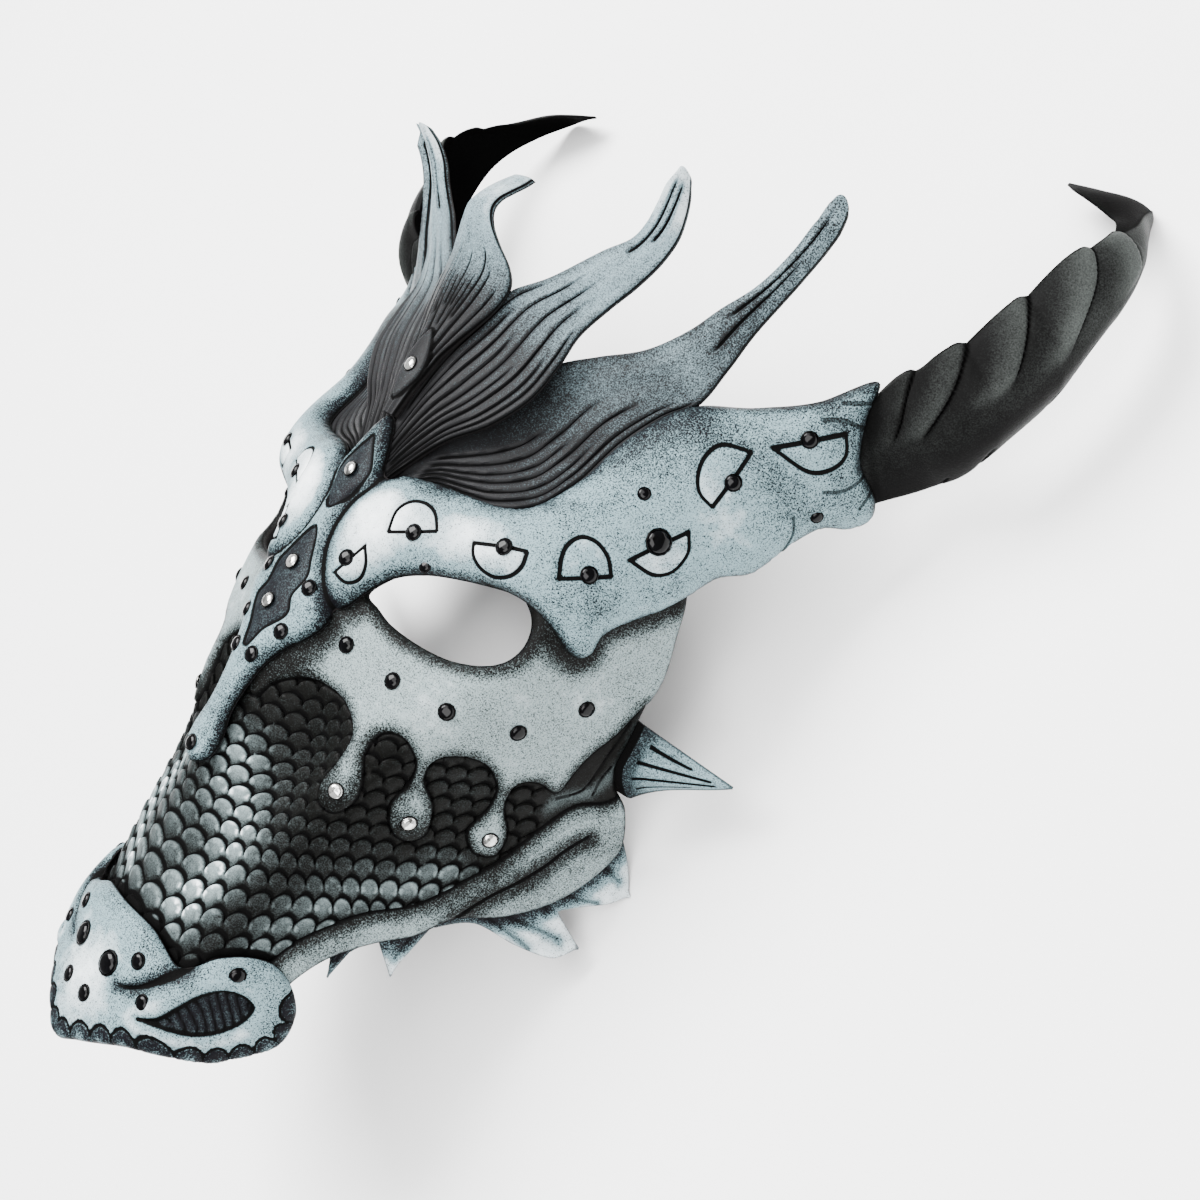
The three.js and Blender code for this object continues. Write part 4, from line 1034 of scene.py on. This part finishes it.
def tongue():
    """The tongue droops to both sides of its middle and ends in a hook."""
    root, tip = TONGUE[0][0], TONGUE[-1][0]

    def station(t):
        """Place along the face, half width and height of the tongue's middle."""
        along = root + t * (tip - root)
        half, height = np.moveaxis(table_at(TONGUE, along), -1, 0)
        return along, half, height

    def place(t, u, depth):
        along, half, height = station(t)
        across = (u - 0.5) * 2
        droop = 1.1 * across**2 * np.minimum(1, half / 8)
        return on_form(across * half, along, height - droop - depth)

    def lens(t, u):
        """Distance from the lens that is laid into the root, and whether a place is in it."""
        along, half, _ = station(t)
        across = (u - 0.5) * 2 * half
        edge = loop(both_sides(TONGUE_LENS), 1.0)
        gap = distance(across.ravel(), along.ravel(), [edge]).reshape(t.shape)
        within = inside(across.ravel(), along.ravel(), edge).reshape(t.shape)
        return gap, within

    def carved(t, u):
        """The cuts outside the lens, what lens() says, and the distance from the edge."""
        gap, within = lens(t, u)
        width = 2 * station(t)[1]
        return cuts(t, u, width, TONGUE_LINES) * ~within, gap, within, from_edge(u, width)

    def face(t, u):
        cut, gap, within, edge = carved(t, u)
        lift = np.where(within, 0.7 * ease(gap, 0.1, 0.9), 0)
        wave = 0.3 * np.cos(2 * np.pi * 3 * u) * (1 - t) * ~within
        return place(t, u, 0.7 * cut + rolled(edge, LOCK_ROUND, LOCK_ROUND) - lift - wave)

    points, faces, t, u = sheet(170, 72, face, lambda t, u: place(t, u, THIN_LEATHER))
    cut, gap, within, edge = carved(t, u)
    silver = np.where(within, 0.10, 0.06 + 0.92 * ease(t, 0.38, 0.86))
    cavity = np.maximum(cut, 0.85 * ease(edge, 0.6, 0.1))
    cavity = np.maximum(cavity, line_cut(gap, 0.4))
    return points, faces, sheet_marks(silver, cavity, 0.5 * ease(t, 0.95, 0.6))


# Horn stations: front edge, back edge and how far the face bulges out between them. The foot lies on
# the form under the brow, the rest is given in the mask's own millimetres.
HORN_FOOT = [
    [on_form(117, 74, 2.6), on_form(133, 57, 2.6), 1.5],
    [on_form(121, 83, 2.3), on_form(138, 65, 2.6), 2.5],
]
HORN = HORN_FOOT + [
    [(117.2, 91.8, -52.6), (122, 74, -83), 6],
    [(127, 98.5, -50), (131, 80.5, -83), 9],
    [(135, 111, -51.5), (139, 95, -82.5), 10],
    [(140, 126, -54.5), (145.5, 110, -82), 10],
    [(147, 139, -55), (148.5, 126, -80.5), 8.5],
    [(148.5, 149, -62), (149.3, 140.5, -81.8), 6],
    [(143.5, 158, -69.5), (147, 153, -84.3), 4.5],
    [(136.5, 162.5, -72.8), (141.5, 167, -89.5), 3.5],
    [(128, 166.5, -74), (133.5, 179, -95.3), 2.5],
    [(119, 170.5, -76), (122, 179.8, -91.5), 1],
    [(110, 176.5, -83.7), (109.5, 177.8, -85.8), 0.4],
]
# Creases start at a notch in the front edge: place along there, how far they run back towards
# the foot, and how far across the horn they reach. The nicks start in the back edge.
FRONT_CREASES = [
    (0.204, 0.07, 0.50), (0.308, 0.112, 0.52), (0.413, 0.08, 0.45), (0.535, 0.105, 0.60), (0.63, 0.04, 0.60),
]
BACK_NICKS = [
    (0.19, 0.04, 0.10), (0.275, 0.03, 0.14), (0.383, 0.04, 0.12), (0.433, 0.06, 0.22), (0.55, 0.06, 0.20),
]
# Turns a place along the horn, from 0 to 1, into about millimetres
HORN_LENGTH = 150
# Thickness of the leather at the horn's tip
HORN_TIP = 1.6
# The last leaf ends against the bare black hook along a line that slants back across the horn; the
# scale says how sharply
HOOK_START = 0.62
HOOK_SLANT = 0.21
HOOK_SCALE = 200


def horn():
    """A sheet that bulges outwards between its two edges and curls in at the tip, as if wrapped in leaves."""
    front = [h[0] for h in HORN]
    back = [h[1] for h in HORN]
    bulges = [[i / (len(HORN) - 1), h[2]] for i, h in enumerate(HORN)]

    def creases(t, u):
        """How close a place is to a crease, and how the leaf below the crease swells."""
        cut = np.zeros_like(t)
        swell = np.zeros_like(t)
        for start, run, reach in FRONT_CREASES:
            share = np.clip(u / reach, 0, 1)
            line = start - run * share ** 1.25
            window = ease(u, reach, reach * 0.75)
            cut = np.maximum(cut, bump((t - line) * HORN_LENGTH, 0.75 - 0.35 * share) * window)
            below = (line - t) * HORN_LENGTH
            rise = np.where(below > 0, ease(below, 0, 1.6) * ease(below, 15, 3), 0)
            swell = np.maximum(swell, rise * window)
        for start, run, reach in BACK_NICKS:
            share = np.clip((1 - u) / reach, 0, 1)
            line = start + run * share
            window = ease(1 - u, reach, reach * 0.6)
            cut = np.maximum(cut, bump((t - line) * HORN_LENGTH, 0.7 - 0.3 * share) * window)
        return cut, swell

    def notch(t):
        """How far the front edge draws in at each notch."""
        cut = np.zeros_like(t)
        for start, _, _ in FRONT_CREASES:
            ahead = (t - start) * HORN_LENGTH
            ahead_of, behind_of = np.clip(1 - ahead / 11, 0, 1), np.clip(1 + ahead / 3, 0, 1)
            cut = np.maximum(cut, np.where(ahead > 0, ahead_of, behind_of) ** 2)
        return cut

    def past_leaf(t, u):
        """How far a place is past the end of the last leaf, towards the hook."""
        return (t - HOOK_START - HOOK_SLANT * u**0.8) * HOOK_SCALE

    def place(t, u, depth, carved):
        """The face stands off the straight line between the edges, which draw in at the notches and
        towards the tip; carving goes no deeper than three quarters of the leather."""
        a, b = curve_at(front, t), curve_at(back, t)
        a = a + (b - a) * (0.055 * notch(t) * ease(t, 0.16, 0.24))[..., None]
        b = b + (a - b) * (0.022 * ease(t, 0.12, 0.22) + 0.075 * ease(t, 0.5, 0.78))[..., None]
        reach = 0.01
        ahead, behind = np.minimum(t + reach, 1), np.maximum(t - reach, 0)
        way = curve_at(front, ahead) + curve_at(back, ahead)
        way = way - curve_at(front, behind) - curve_at(back, behind)
        out = np.cross(way, a - b)
        out /= np.linalg.norm(out, axis=-1, keepdims=True)
        lift = table_at(bulges, t)[..., 0] * arched(u) - depth
        if carved:
            cut, swell = creases(t, u)
            edge = from_edge(u, np.linalg.norm(a - b, axis=-1))
            hook = ease(past_leaf(t, u), -1, 1)
            carve = cut + 0.9 * (1 - swell) + 0.6 * hook + rolled(edge, 1.4, 1.3)
            lift = lift - np.minimum(carve, 0.75 * thick(t))
        return a + (b - a) * u[..., None] + out * lift[..., None]

    def thick(t):
        return LEATHER + (HORN_TIP - LEATHER) * t

    points, faces, t, u = sheet(
        210, 72, lambda t, u: place(t, u, 0, True), lambda t, u: place(t, u, thick(t), False))
    cut, swell = creases(t, u)
    foot = bump(t - 0.10, 0.02)
    hook = past_leaf(t, u)
    leaf = ease(hook, 1.5, -1.5)
    # Painted highlights on the swelling leaves and along the middle of the horn
    silver = 0.06 + 0.30 * ease(t, 0.30, 0.62) + 0.42 * swell * ease(t, 0.05, 0.3)
    silver = (silver + 0.22 * bump(u - 0.5, 0.22)) * leaf * (1 - 0.7 * ease(u, 0.8, 0.97))
    cavity = most(cut, 0.5 * foot, bump(hook, 1.8), 0.75 * (1 - leaf))
    return points, faces, sheet_marks(silver, cavity, 0.9)


# The cheek spike: its root along the cut edge, how far the root is tucked in and under, its tip, and
# the way that it swells out
CHEEK_SPIKE = {
    "root": [(119, -21), (120, -29), (121, -36), (124.6, -40.4), (128, -42.5)],
    "root_height": 1.0,
    "tuck_in": 4,
    "tuck_height": -2.6,
    "tucked_share": 0.035,
    "hollow": 0.3,
    "tip": np.array([112, -23.6, -88]),
    "blunt": 0.97,
    "swell": 6.0,
    "out": np.array([0.25, -0.1, 1.0]) / np.linalg.norm([0.25, -0.1, 1.0]),
    "flute": 0.35,
    "lines": [
        (0.14, 0.20, 0.16, 0.66), (0.36, 0.38, 0.12, 0.86),
        (0.60, 0.60, 0.12, 0.90), (0.82, 0.78, 0.14, 0.70),
    ],
}


def cheek_spike():
    """A fluted spike like half of a cone, from the cut edge at the back of the cheek to its tip."""
    root = [on_form(s, y, CHEEK_SPIKE["root_height"]) for s, y in CHEEK_SPIKE["root"]]
    tucked = [
        on_form(s - CHEEK_SPIKE["tuck_in"], y, CHEEK_SPIKE["tuck_height"]) for s, y in CHEEK_SPIKE["root"]]
    span = np.linalg.norm(root[0] - root[-1])

    def place(t, u, depth):
        """Straight from the root's curve to the tip, which stays blunt; the lower side is drawn in."""
        under = ease(t, CHEEK_SPIKE["tucked_share"], 0.0)[..., None]
        edge = curve_at(root, u) * (1 - under) + curve_at(tucked, u) * under
        grow = (1 - t) * ease(t, 0.06, 0.3)
        lift = (CHEEK_SPIKE["swell"] * arched(u) + CHEEK_SPIKE["flute"] * np.cos(6 * np.pi * u)) * grow
        along = (t * CHEEK_SPIKE["blunt"])[..., None]
        drawn_in = (CHEEK_SPIKE["hollow"] * np.sin(np.pi * t) * ease(u, 0.5, 1))[..., None]
        edge = edge + (curve_at(root, 0.5 + 0 * t) - edge) * drawn_in
        return edge + (CHEEK_SPIKE["tip"] - edge) * along + CHEEK_SPIKE["out"] * (lift - depth)[..., None]

    def carving(t, u):
        return cuts(t, u, span * (1 - t), CHEEK_SPIKE["lines"])

    def face(t, u):
        return place(t, u, 0.6 * carving(t, u))

    def back(t, u):
        return place(t, u, THIN_LEATHER * (1 - 0.7 * t))

    points, faces, t, u = sheet(90, 64, face, back)
    silver = 0.34 + 0.50 * ease(t, 0.03, 0.30)
    # Black painted shadow where the root tucks in under the cut edge
    black_root = ease(t, 0.05, CHEEK_SPIKE["tucked_share"])
    cavity = most(carving(t, u), black_root, 0.7 * ease(from_edge(u, span * (1 - t)), 0.7, 0.1))
    return points, faces, sheet_marks(silver, cavity, 0.35)


# Stones
def cut_stone(sides=12):
    """A faceted stone of radius 1 in a slim rim: rings of points from the glued back to the table.
    The rim comes first, then the stone inside it."""
    turn = np.arange(sides) * 2 * np.pi / sides
    half = turn + np.pi / sides

    def ring(radius, height, angle):
        return np.stack([radius * np.cos(angle), radius * np.sin(angle), np.full(sides, height)], -1)

    rim = [ring(1.08, 0, turn), ring(1.12, 0.11, turn), ring(1.03, 0.2, turn), ring(0.93, 0.16, turn)]
    stone = [ring(0.95, 0.02, turn), ring(0.95, 0.15, turn), ring(0.78, 0.32, half), ring(0.5, 0.42, turn)]
    back, girdle, shoulder, table = range(len(rim), len(rim + stone))

    def corners(level, ahead=0):
        """The points of one ring, from its first point or from the one ahead."""
        return np.roll(np.arange(sides), -ahead) + level * sides

    def band(low, high):
        return np.stack([corners(low), corners(low, 1), corners(high, 1), corners(high)], -1)

    rim_faces = [band(0, 1), band(1, 2), band(2, 3), band(3, 0)]
    slopes = [
        np.stack([corners(girdle), corners(girdle, 1), corners(shoulder)], -1),
        np.stack([corners(girdle, 1), corners(shoulder, 1), corners(shoulder)], -1),
        np.stack([corners(shoulder), corners(table, 1), corners(table)], -1),
        np.stack([corners(shoulder), corners(shoulder, 1), corners(table, 1)], -1),
    ]
    ends = [corners(table)[None, :], corners(back)[None, ::-1]]
    return np.concatenate(rim + stone), rim_faces, [band(back, girdle)] + slopes + ends


def set_stones(name, seats, finish, rim_finish, nodes):
    """One cut stone in its rim for each seat (across, along, height of its back, radius), square to the
    form; all of them are one piece, whose first faces are the rims."""
    seats = np.asarray(seats, float)
    shape, rim_faces, stone_faces = cut_stone()
    centre = on_form(seats[:, 0], seats[:, 1], seats[:, 2])
    normal = on_form(seats[:, 0], seats[:, 1], seats[:, 2] + 1) - centre
    along = np.cross(normal, [1.0, 0, 0])
    along /= np.linalg.norm(along, axis=1, keepdims=True)
    across = np.cross(along, normal)
    local = shape[None] * seats[:, 3, None, None]
    points = (centre[:, None] + local[..., :1] * across[:, None] + local[..., 1:2] * along[:, None]
              + local[..., 2:] * normal[:, None])
    shift = np.arange(len(seats)) * len(shape)

    def repeat(faces):
        return [(f[None] + shift[:, None, None]).reshape(-1, f.shape[1]) for f in faces]

    rims, stones = repeat(rim_faces), repeat(stone_faces)
    piece = leather_piece(name, points.reshape(-1, 3), rims + stones, finish, nodes, sharp=0)
    piece.data.materials.append(rim_finish)
    kind = np.zeros(len(piece.data.polygons), np.int32)
    kind[:sum(len(f) for f in rims)] = 1
    piece.data.polygons.foreach_set("material_index", kind)
    return piece


# Finishes
def node(tree, kind, inputs=None, **settings):
    """A shader node with its settings and its inputs: a value, or another node's output to read."""
    made = tree.nodes.new(kind)
    for key, value in settings.items():
        setattr(made, key, value)
    for key, value in (inputs or {}).items():
        if isinstance(value, bpy.types.NodeSocket):
            tree.links.new(value, made.inputs[key])
        else:
            made.inputs[key].default_value = value
    return made


def finish(name):
    """A new material, its node tree and its surface shader."""
    material = bpy.data.materials.new(name)
    material.use_nodes = True
    tree = material.node_tree
    return material, tree, tree.nodes["Principled BSDF"]


def mix_colour(tree, amount, first, second):
    """The first colour where the amount is 0, the second where it is 1; each may be a node's output."""
    made = node(tree, "ShaderNodeMix", data_type="RGBA")
    for socket, value in ((made.inputs[0], amount), (made.inputs[6], first), (made.inputs[7], second)):
        if isinstance(value, bpy.types.NodeSocket):
            tree.links.new(value, socket)
        else:
            socket.default_value = value
    return made.outputs[2]


def sums(tree, operation, first, second=0.0, clamp=False):
    """One arithmetic step; each of its two terms is a value or a node's output."""
    made = node(tree, "ShaderNodeMath", {0: first, 1: second}, operation=operation, use_clamp=clamp)
    return made.outputs[0]


def darker(colour, share):
    """The colour times a share, which may be more than 1."""
    return [c * share for c in colour[:3]] + [1]


SUEDE = (0.008, 0.007, 0.007, 1)
CUT_BLACK = (0.001, 0.001, 0.001, 1)
# Pale paint, which also gives the painted highlights
PALE_PAINT_AND_HIGHLIGHT = (0.80, 0.84, 0.86, 1)
# Grains of the paint and of the leather, in repeats per metre
SPECK_GRAIN = 2300.0
SMEAR_GRAIN = 330.0
CLOUD_GRAIN = 62.0
PORE_GRAIN = 1150.0


def speckled_leather(name, leather, paint, paint_gloss=0.42, leather_gloss=0.40, suede=SUEDE, shine=0.04):
    """Dyed leather with sponged paint. The mark "silver" says how much paint a place holds, and also carries
    painted highlights and painted shade. Clouds and smears make the paint uneven and specks break it up,
    all less so where "smooth" says that it was rubbed on. Where "silver" is low the paint turns dark, which
    shows the painted shade, and where it is above about 1 it turns pale, which shows the painted
    highlights and heaped paint. "cavity" blackens the cuts and holds painted shadow in gaps and under
    edges, and "inner" turns the back into plain suede."""
    material, tree, shader = finish(name)
    place = node(tree, "ShaderNodeTexCoord").outputs["Object"]

    def mark(attribute):
        return node(tree, "ShaderNodeAttribute", attribute_name=attribute).outputs["Fac"]

    def grain(scale, detail, roughness):
        settings = {"Vector": place, "Scale": scale, "Detail": detail, "Roughness": roughness}
        return node(tree, "ShaderNodeTexNoise", settings).outputs["Fac"]

    def plus(base, extra, amount, clamp=False):
        return sums(tree, "ADD", base, sums(tree, "MULTIPLY", extra, amount), clamp)

    def around(source, amount):
        """A grain made to swing about 0 by an amount."""
        return sums(tree, "MULTIPLY", sums(tree, "SUBTRACT", source, 0.5), amount)

    def ramp(value, low, high):
        """0 where the value is at low and 1 where it is at high."""
        limits = {"Value": value, "From Min": low, "From Max": high}
        return node(tree, "ShaderNodeMapRange", limits).outputs["Result"]

    silver, cavity, smooth, inner = mark("silver"), mark("cavity"), mark("smooth"), mark("inner")
    specks = grain(SPECK_GRAIN, 2.0, 0.7)
    clouds = grain(CLOUD_GRAIN, 6.0, 0.62)
    smears = grain(SMEAR_GRAIN, 3.0, 0.6)

    calm = plus(1.0, smooth, -0.7)
    uneven = sums(tree, "ADD", around(clouds, 0.9), around(smears, 0.45))
    wanted = plus(silver, uneven, calm)
    speckled = plus(wanted, around(specks, 3.8), calm)
    painted = ramp(speckled, plus(0.38, smooth, -0.28), plus(0.92, smooth, 0.25))
    # Pale where "silver" is above 1: the painted highlights, and heaped paint in the clouds
    thick = ramp(plus(silver, uneven, 0.5), 0.95, 1.40)
    # Dark where "silver" is low, which gives the painted shade
    thin = ramp(wanted, 0.05, 0.80)

    dye = mix_colour(tree, clouds, leather, darker(leather, 1.6))
    coat = mix_colour(tree, thin, darker(paint, 0.18), mix_colour(tree, thick, paint, PALE_PAINT_AND_HIGHLIGHT))
    colour = mix_colour(tree, painted, dye, coat)
    colour = mix_colour(tree, ramp(cavity, 0.40, 0.80), colour, CUT_BLACK)
    colour = mix_colour(tree, inner, colour, suede)
    tree.links.new(colour, shader.inputs["Base Color"])

    gloss = sums(tree, "ADD", sums(tree, "MULTIPLY", painted, paint_gloss - leather_gloss), leather_gloss)
    gloss = plus(gloss, sums(tree, "MAXIMUM", inner, cavity), 0.4, clamp=True)
    gloss = sums(tree, "ADD", gloss, around(specks, 0.25))
    tree.links.new(gloss, shader.inputs["Roughness"])
    shader.inputs["Specular IOR Level"].default_value = shine

    pores = node(tree, "ShaderNodeTexVoronoi", {"Vector": place, "Scale": PORE_GRAIN}, feature="SMOOTH_F1")
    skin = plus(plus(specks, pores.outputs["Distance"], 0.6), painted, 0.35)
    relief = node(tree, "ShaderNodeBump", {"Height": skin, "Strength": 0.35, "Distance": 0.00022})
    tree.links.new(relief.outputs["Normal"], shader.inputs["Normal"])
    return material


def stone_finish(name, colour, gloss, metal, coat, shine=0.5):
    """Cut glass or dark metal, with lighter and darker patches about a millimetre wide in its colour,
    painted reflections of its facets.
    """
    material, tree, shader = finish(name)
    place = node(tree, "ShaderNodeTexCoord").outputs["Object"]
    painted_facet_reflections = node(tree, "ShaderNodeTexVoronoi", {"Vector": place, "Scale": 800.0})
    tone = mix_colour(tree, painted_facet_reflections.outputs["Color"], colour, darker(colour, 0.04))
    tree.links.new(tone, shader.inputs["Base Color"])
    shader.inputs["Roughness"].default_value = gloss
    shader.inputs["Metallic"].default_value = metal
    shader.inputs["Coat Weight"].default_value = coat
    shader.inputs["Specular IOR Level"].default_value = shine
    shader.inputs["Coat Roughness"].default_value = 0.03
    return material


# The finishes of the leathers, the stones and the rims
silver_leather = speckled_leather(
    "sponged_silver_leather", leather=(0.003, 0.003, 0.004, 1), paint=(0.165, 0.245, 0.268, 1))
scaled_leather = speckled_leather(
    "rubbed_scale_leather", leather=(0.0022, 0.0022, 0.002, 1), paint=(0.190, 0.240, 0.245, 1))
crest_leather = speckled_leather(
    "crest_leather", leather=(0.008, 0.008, 0.0085, 1), paint=(0.165, 0.230, 0.255, 1))
horn_leather = speckled_leather(
    "dyed_horn_leather", leather=(0.0035, 0.0035, 0.0035, 1), paint=(0.056, 0.062, 0.059, 1),
    paint_gloss=0.36, leather_gloss=0.34, suede=CUT_BLACK, shine=0.006)
black_glass = stone_finish("black_cut_glass", (0.001, 0.001, 0.0015, 1), 0.08, 0.0, 0.0, 0.13)
clear_glass = stone_finish("clear_foiled_glass", (0.90, 0.90, 0.87, 1), 0.05, 0.85, 0.3)
dark_metal = stone_finish("dark_metal_rim", (0.004, 0.004, 0.004, 1), 0.3, 0.9, 0.0)


def in_or_near_scales(across, along):
    """True in the scaled field and just past its edge, where the mesh is finer."""
    u = np.abs(across)
    return inside(u, along, SCALED_EDGE) | (distance(u, along, [SCALED_EDGE]) < 1.4)


# The face
tips = scale_tips()
tips = tips[inside(np.abs(tips[:, 0]), tips[:, 1], SCALED_EDGE)]
drips = [beside(SCALED_HALF), beside(np.array(SCALED_HALF) * [-1, 1])]
veins = np.concatenate([beside(v) for v in with_mirror([JAW_LEAF_VEIN, JAW_LEAF_INSET] + BAND_LINES)] + drips)
points, sets, marks = cut_leather(
    both_sides(FACE_HALF), [EYE_HOLE, mirror(EYE_HOLE)], face_relief, lambda across, along: 0 * across, 1.5,
    extra=np.concatenate([tips, veins]), fine=(in_or_near_scales, 0.85))
leather_piece("face_leather", points, sets, scaled_leather, ["face_shell"], marks)

# The brow and the nose cap
tooling = [beside(line) for line in with_mirror(DISC_LINES + SLEEVE_CREASES + [CREVICE])]
tooling += [beside(both_sides(lens), closed=True) for lens in LENSES]
points, sets, marks = cut_leather(
    both_sides(BROW_HALF), [], brow_relief, partial(hollow_back, BROW_LAYER), 1.0,
    extra=np.concatenate(tooling))
leather_piece("brow_leather", points, sets, silver_leather, ["brow_plate"], marks)

tooling = [beside(line) for line in with_mirror([NOSE_SCROLL])]
tooling += [beside(NOSTRIL, closed=True), beside(mirror(NOSTRIL), closed=True)]
points, sets, marks = cut_leather(
    both_sides(NOSE_CAP_HALF), [], cap_relief, partial(hollow_back, CAP_LAYER), 0.65,
    extra=np.concatenate(tooling))
leather_piece("nose_leather", points, sets, silver_leather, ["nose_cap"], marks)

# The crest
points, sets, marks = tongue()
leather_piece("crest_tongue_leather", points, sets, crest_leather, ["crest_tongue"], marks)


def leather_pair(name, node_name, made, material):
    """A piece on the left and its mirror image on the right."""
    points, sets, marks = made
    leather_piece(name + "_left", points, sets, material, [node_name + "_left"], marks)
    points, sets = mirrored(points, sets)
    leather_piece(name + "_right", points, sets, material, [node_name + "_right"], marks)


leather_pair("crest_inner_leather", "crest_inner_spike", spike(INNER_SPIKE), crest_leather)
leather_pair("crest_outer_leather", "crest_outer_spike", spike(OUTER_SPIKE), crest_leather)
leather_pair("horn_leather", "horn", horn(), horn_leather)
leather_pair("cheek_spike_leather", "cheek_spike", cheek_spike(), silver_leather)

# The frill
tooling = np.concatenate([beside(v) for v in FRILL_VEINS])
frill = cut_leather(FRILL, [], frill_relief, frill_back, 1.0, extra=tooling)
leather_pair("frill_leather", "jaw_frill", frill, silver_leather)


# The stones, each glued down where its centre stands on the leather
STONE_SINK = 0.05


def seats_on(level, places, radius=MEDIUM_STONE):
    """Seats of stones at places, each with its own radius or the common one, and their mirror images.
    level(across, along) gives the leather's height; each stone is sunk a little into it."""
    table = np.array([(list(place) + [radius])[:3] for place in places], float)
    height = level(table[:, 0], table[:, 1])
    seats = np.column_stack([table[:, 0], table[:, 1], height - STONE_SINK, table[:, 2]])
    return np.concatenate([seats, seats[seats[:, 0] > 0] * [-1, 1, 1, 1]])


def smooth_face(across, along):
    """The smooth part of the face."""
    return LEATHER + STONE_SINK + 0 * across


def plain_brow(across, along):
    """The brow without its tooling."""
    return plain_face(BROW_LAYER, across, along)[0]


def plain_cap(across, along):
    """The nose cap without its tooling."""
    return plain_face(CAP_LAYER, across, along)[0]


def tongue_lens(across, along):
    """The lens laid into the root of the crest's tongue."""
    return table_at(TONGUE, along)[..., 1] + 0.6


def pairs(stem, count):
    """The names of nodes that come in pairs, in the order of their numbers."""
    return [f"{stem}_{i}_{side}" for i in range(1, count + 1) for side in ("left", "right")]


for name, level, places, glass, slot, nodes in (
    ("drop_stones", smooth_face, CLEAR_ON_FACE, clear_glass, "clear_stone", pairs("drop_stone", 3)),
    ("cheek_stones", smooth_face, BLACK_ON_CHEEK, black_glass, "black_stone", pairs("cheek_stone", 5)),
    ("brow_stones", plain_brow, BLACK_ON_BROW, black_glass, "black_stone", pairs("brow_stone", 10)),
    ("midline_stones", plain_brow, CLEAR_ON_MIDLINE, clear_glass, "clear_stone",
     [f"midline_stone_{i}" for i in (1, 2, 3)]),
    ("tongue_stone", tongue_lens, [CLEAR_ON_TONGUE], clear_glass, "clear_stone", []),
    ("tab_stones", plain_brow, [BLACK_ON_TAB], black_glass, "black_stone", ["tab_stone"]),
    ("bridge_stones", plain_brow, BLACK_ON_BRIDGE, black_glass, "black_stone", []),
    ("nose_stones", plain_cap, BLACK_ON_NOSE, black_glass, "black_stone", pairs("nose_stone", 3)),
    ("more_nose_stones", plain_cap, MORE_ON_NOSE, black_glass, "black_stone", []),
):
    set_stones(name, seats_on(level, places), glass, dark_metal, nodes)


# The stage
MASK_MIDDLE = (0, 0, 0.05)
SKY_STRENGTH = 0.6


def pale_floor():
    """A wide floor with a soft mottle, which isn't part of the mask; places are in metres."""
    half = 4.0
    mesh = bpy.data.meshes.new("floor")
    corners = [(-half, -half, 0), (half, -half, 0), (half, half, 0), (-half, half, 0)]
    mesh.from_pydata(corners, [], [(0, 1, 2, 3)])
    material, tree, shader = finish("pale_floor")
    place = node(tree, "ShaderNodeTexCoord").outputs["Object"]
    mottle = node(tree, "ShaderNodeTexNoise", {"Vector": place, "Scale": 6.0, "Detail": 2.0})
    tree.links.new(mix_colour(tree, mottle.outputs["Fac"], (0.93, 0.93, 0.93, 1), (0.96, 0.96, 0.96, 1)),
                   shader.inputs["Base Color"])
    shader.inputs["Roughness"].default_value = 0.9
    mesh.materials.append(material)
    floor = bpy.data.objects.new("floor", mesh)
    bpy.context.scene.collection.objects.link(floor)


def soft_light(name, place, target, size, power):
    """A square lamp that faces a target; places are in metres."""
    lamp = bpy.data.lights.new(name, "AREA")
    lamp.shape = "SQUARE"
    lamp.size = size
    lamp.energy = power
    made = bpy.data.objects.new(name, lamp)
    bpy.context.scene.collection.objects.link(made)
    made.location = place
    made.rotation_euler = (Vector(target) - Vector(place)).to_track_quat("-Z", "Y").to_euler()


def camera():
    """The photograph's viewpoint, which moves with the mask's rest tilt and lift."""
    tilt = Matrix.Rotation(REST_TILT, 4, "X")
    axes = Matrix(CAMERA_AXES).transposed().to_4x4()
    place = (tilt @ Vector(CAMERA_PLACE) + Vector(LIFT)) * MILLIMETRE
    data = bpy.data.cameras.new("camera")
    data.sensor_width = 36
    data.lens = 45
    data.clip_start = 0.01
    made = bpy.data.objects.new("camera", data)
    made.matrix_world = Matrix.Translation(place) @ tilt @ axes
    bpy.context.scene.collection.objects.link(made)
    bpy.context.scene.camera = made


pale_floor()
soft_light("key_light", (-0.8, 0.55, 1.75), MASK_MIDDLE, size=1.2, power=140)
soft_light("side_light", (1.1, -0.5, 1.5), MASK_MIDDLE, size=1.4, power=68)
soft_light("top_light", (0.2, 0.6, 2.0), MASK_MIDDLE, size=1.6, power=58)
world = bpy.data.worlds.new("studio")
world.use_nodes = True
sky = world.node_tree.nodes["Background"]
sky.inputs["Color"].default_value = (1, 1, 1, 1)
sky.inputs["Strength"].default_value = SKY_STRENGTH
bpy.context.scene.world = world
camera()
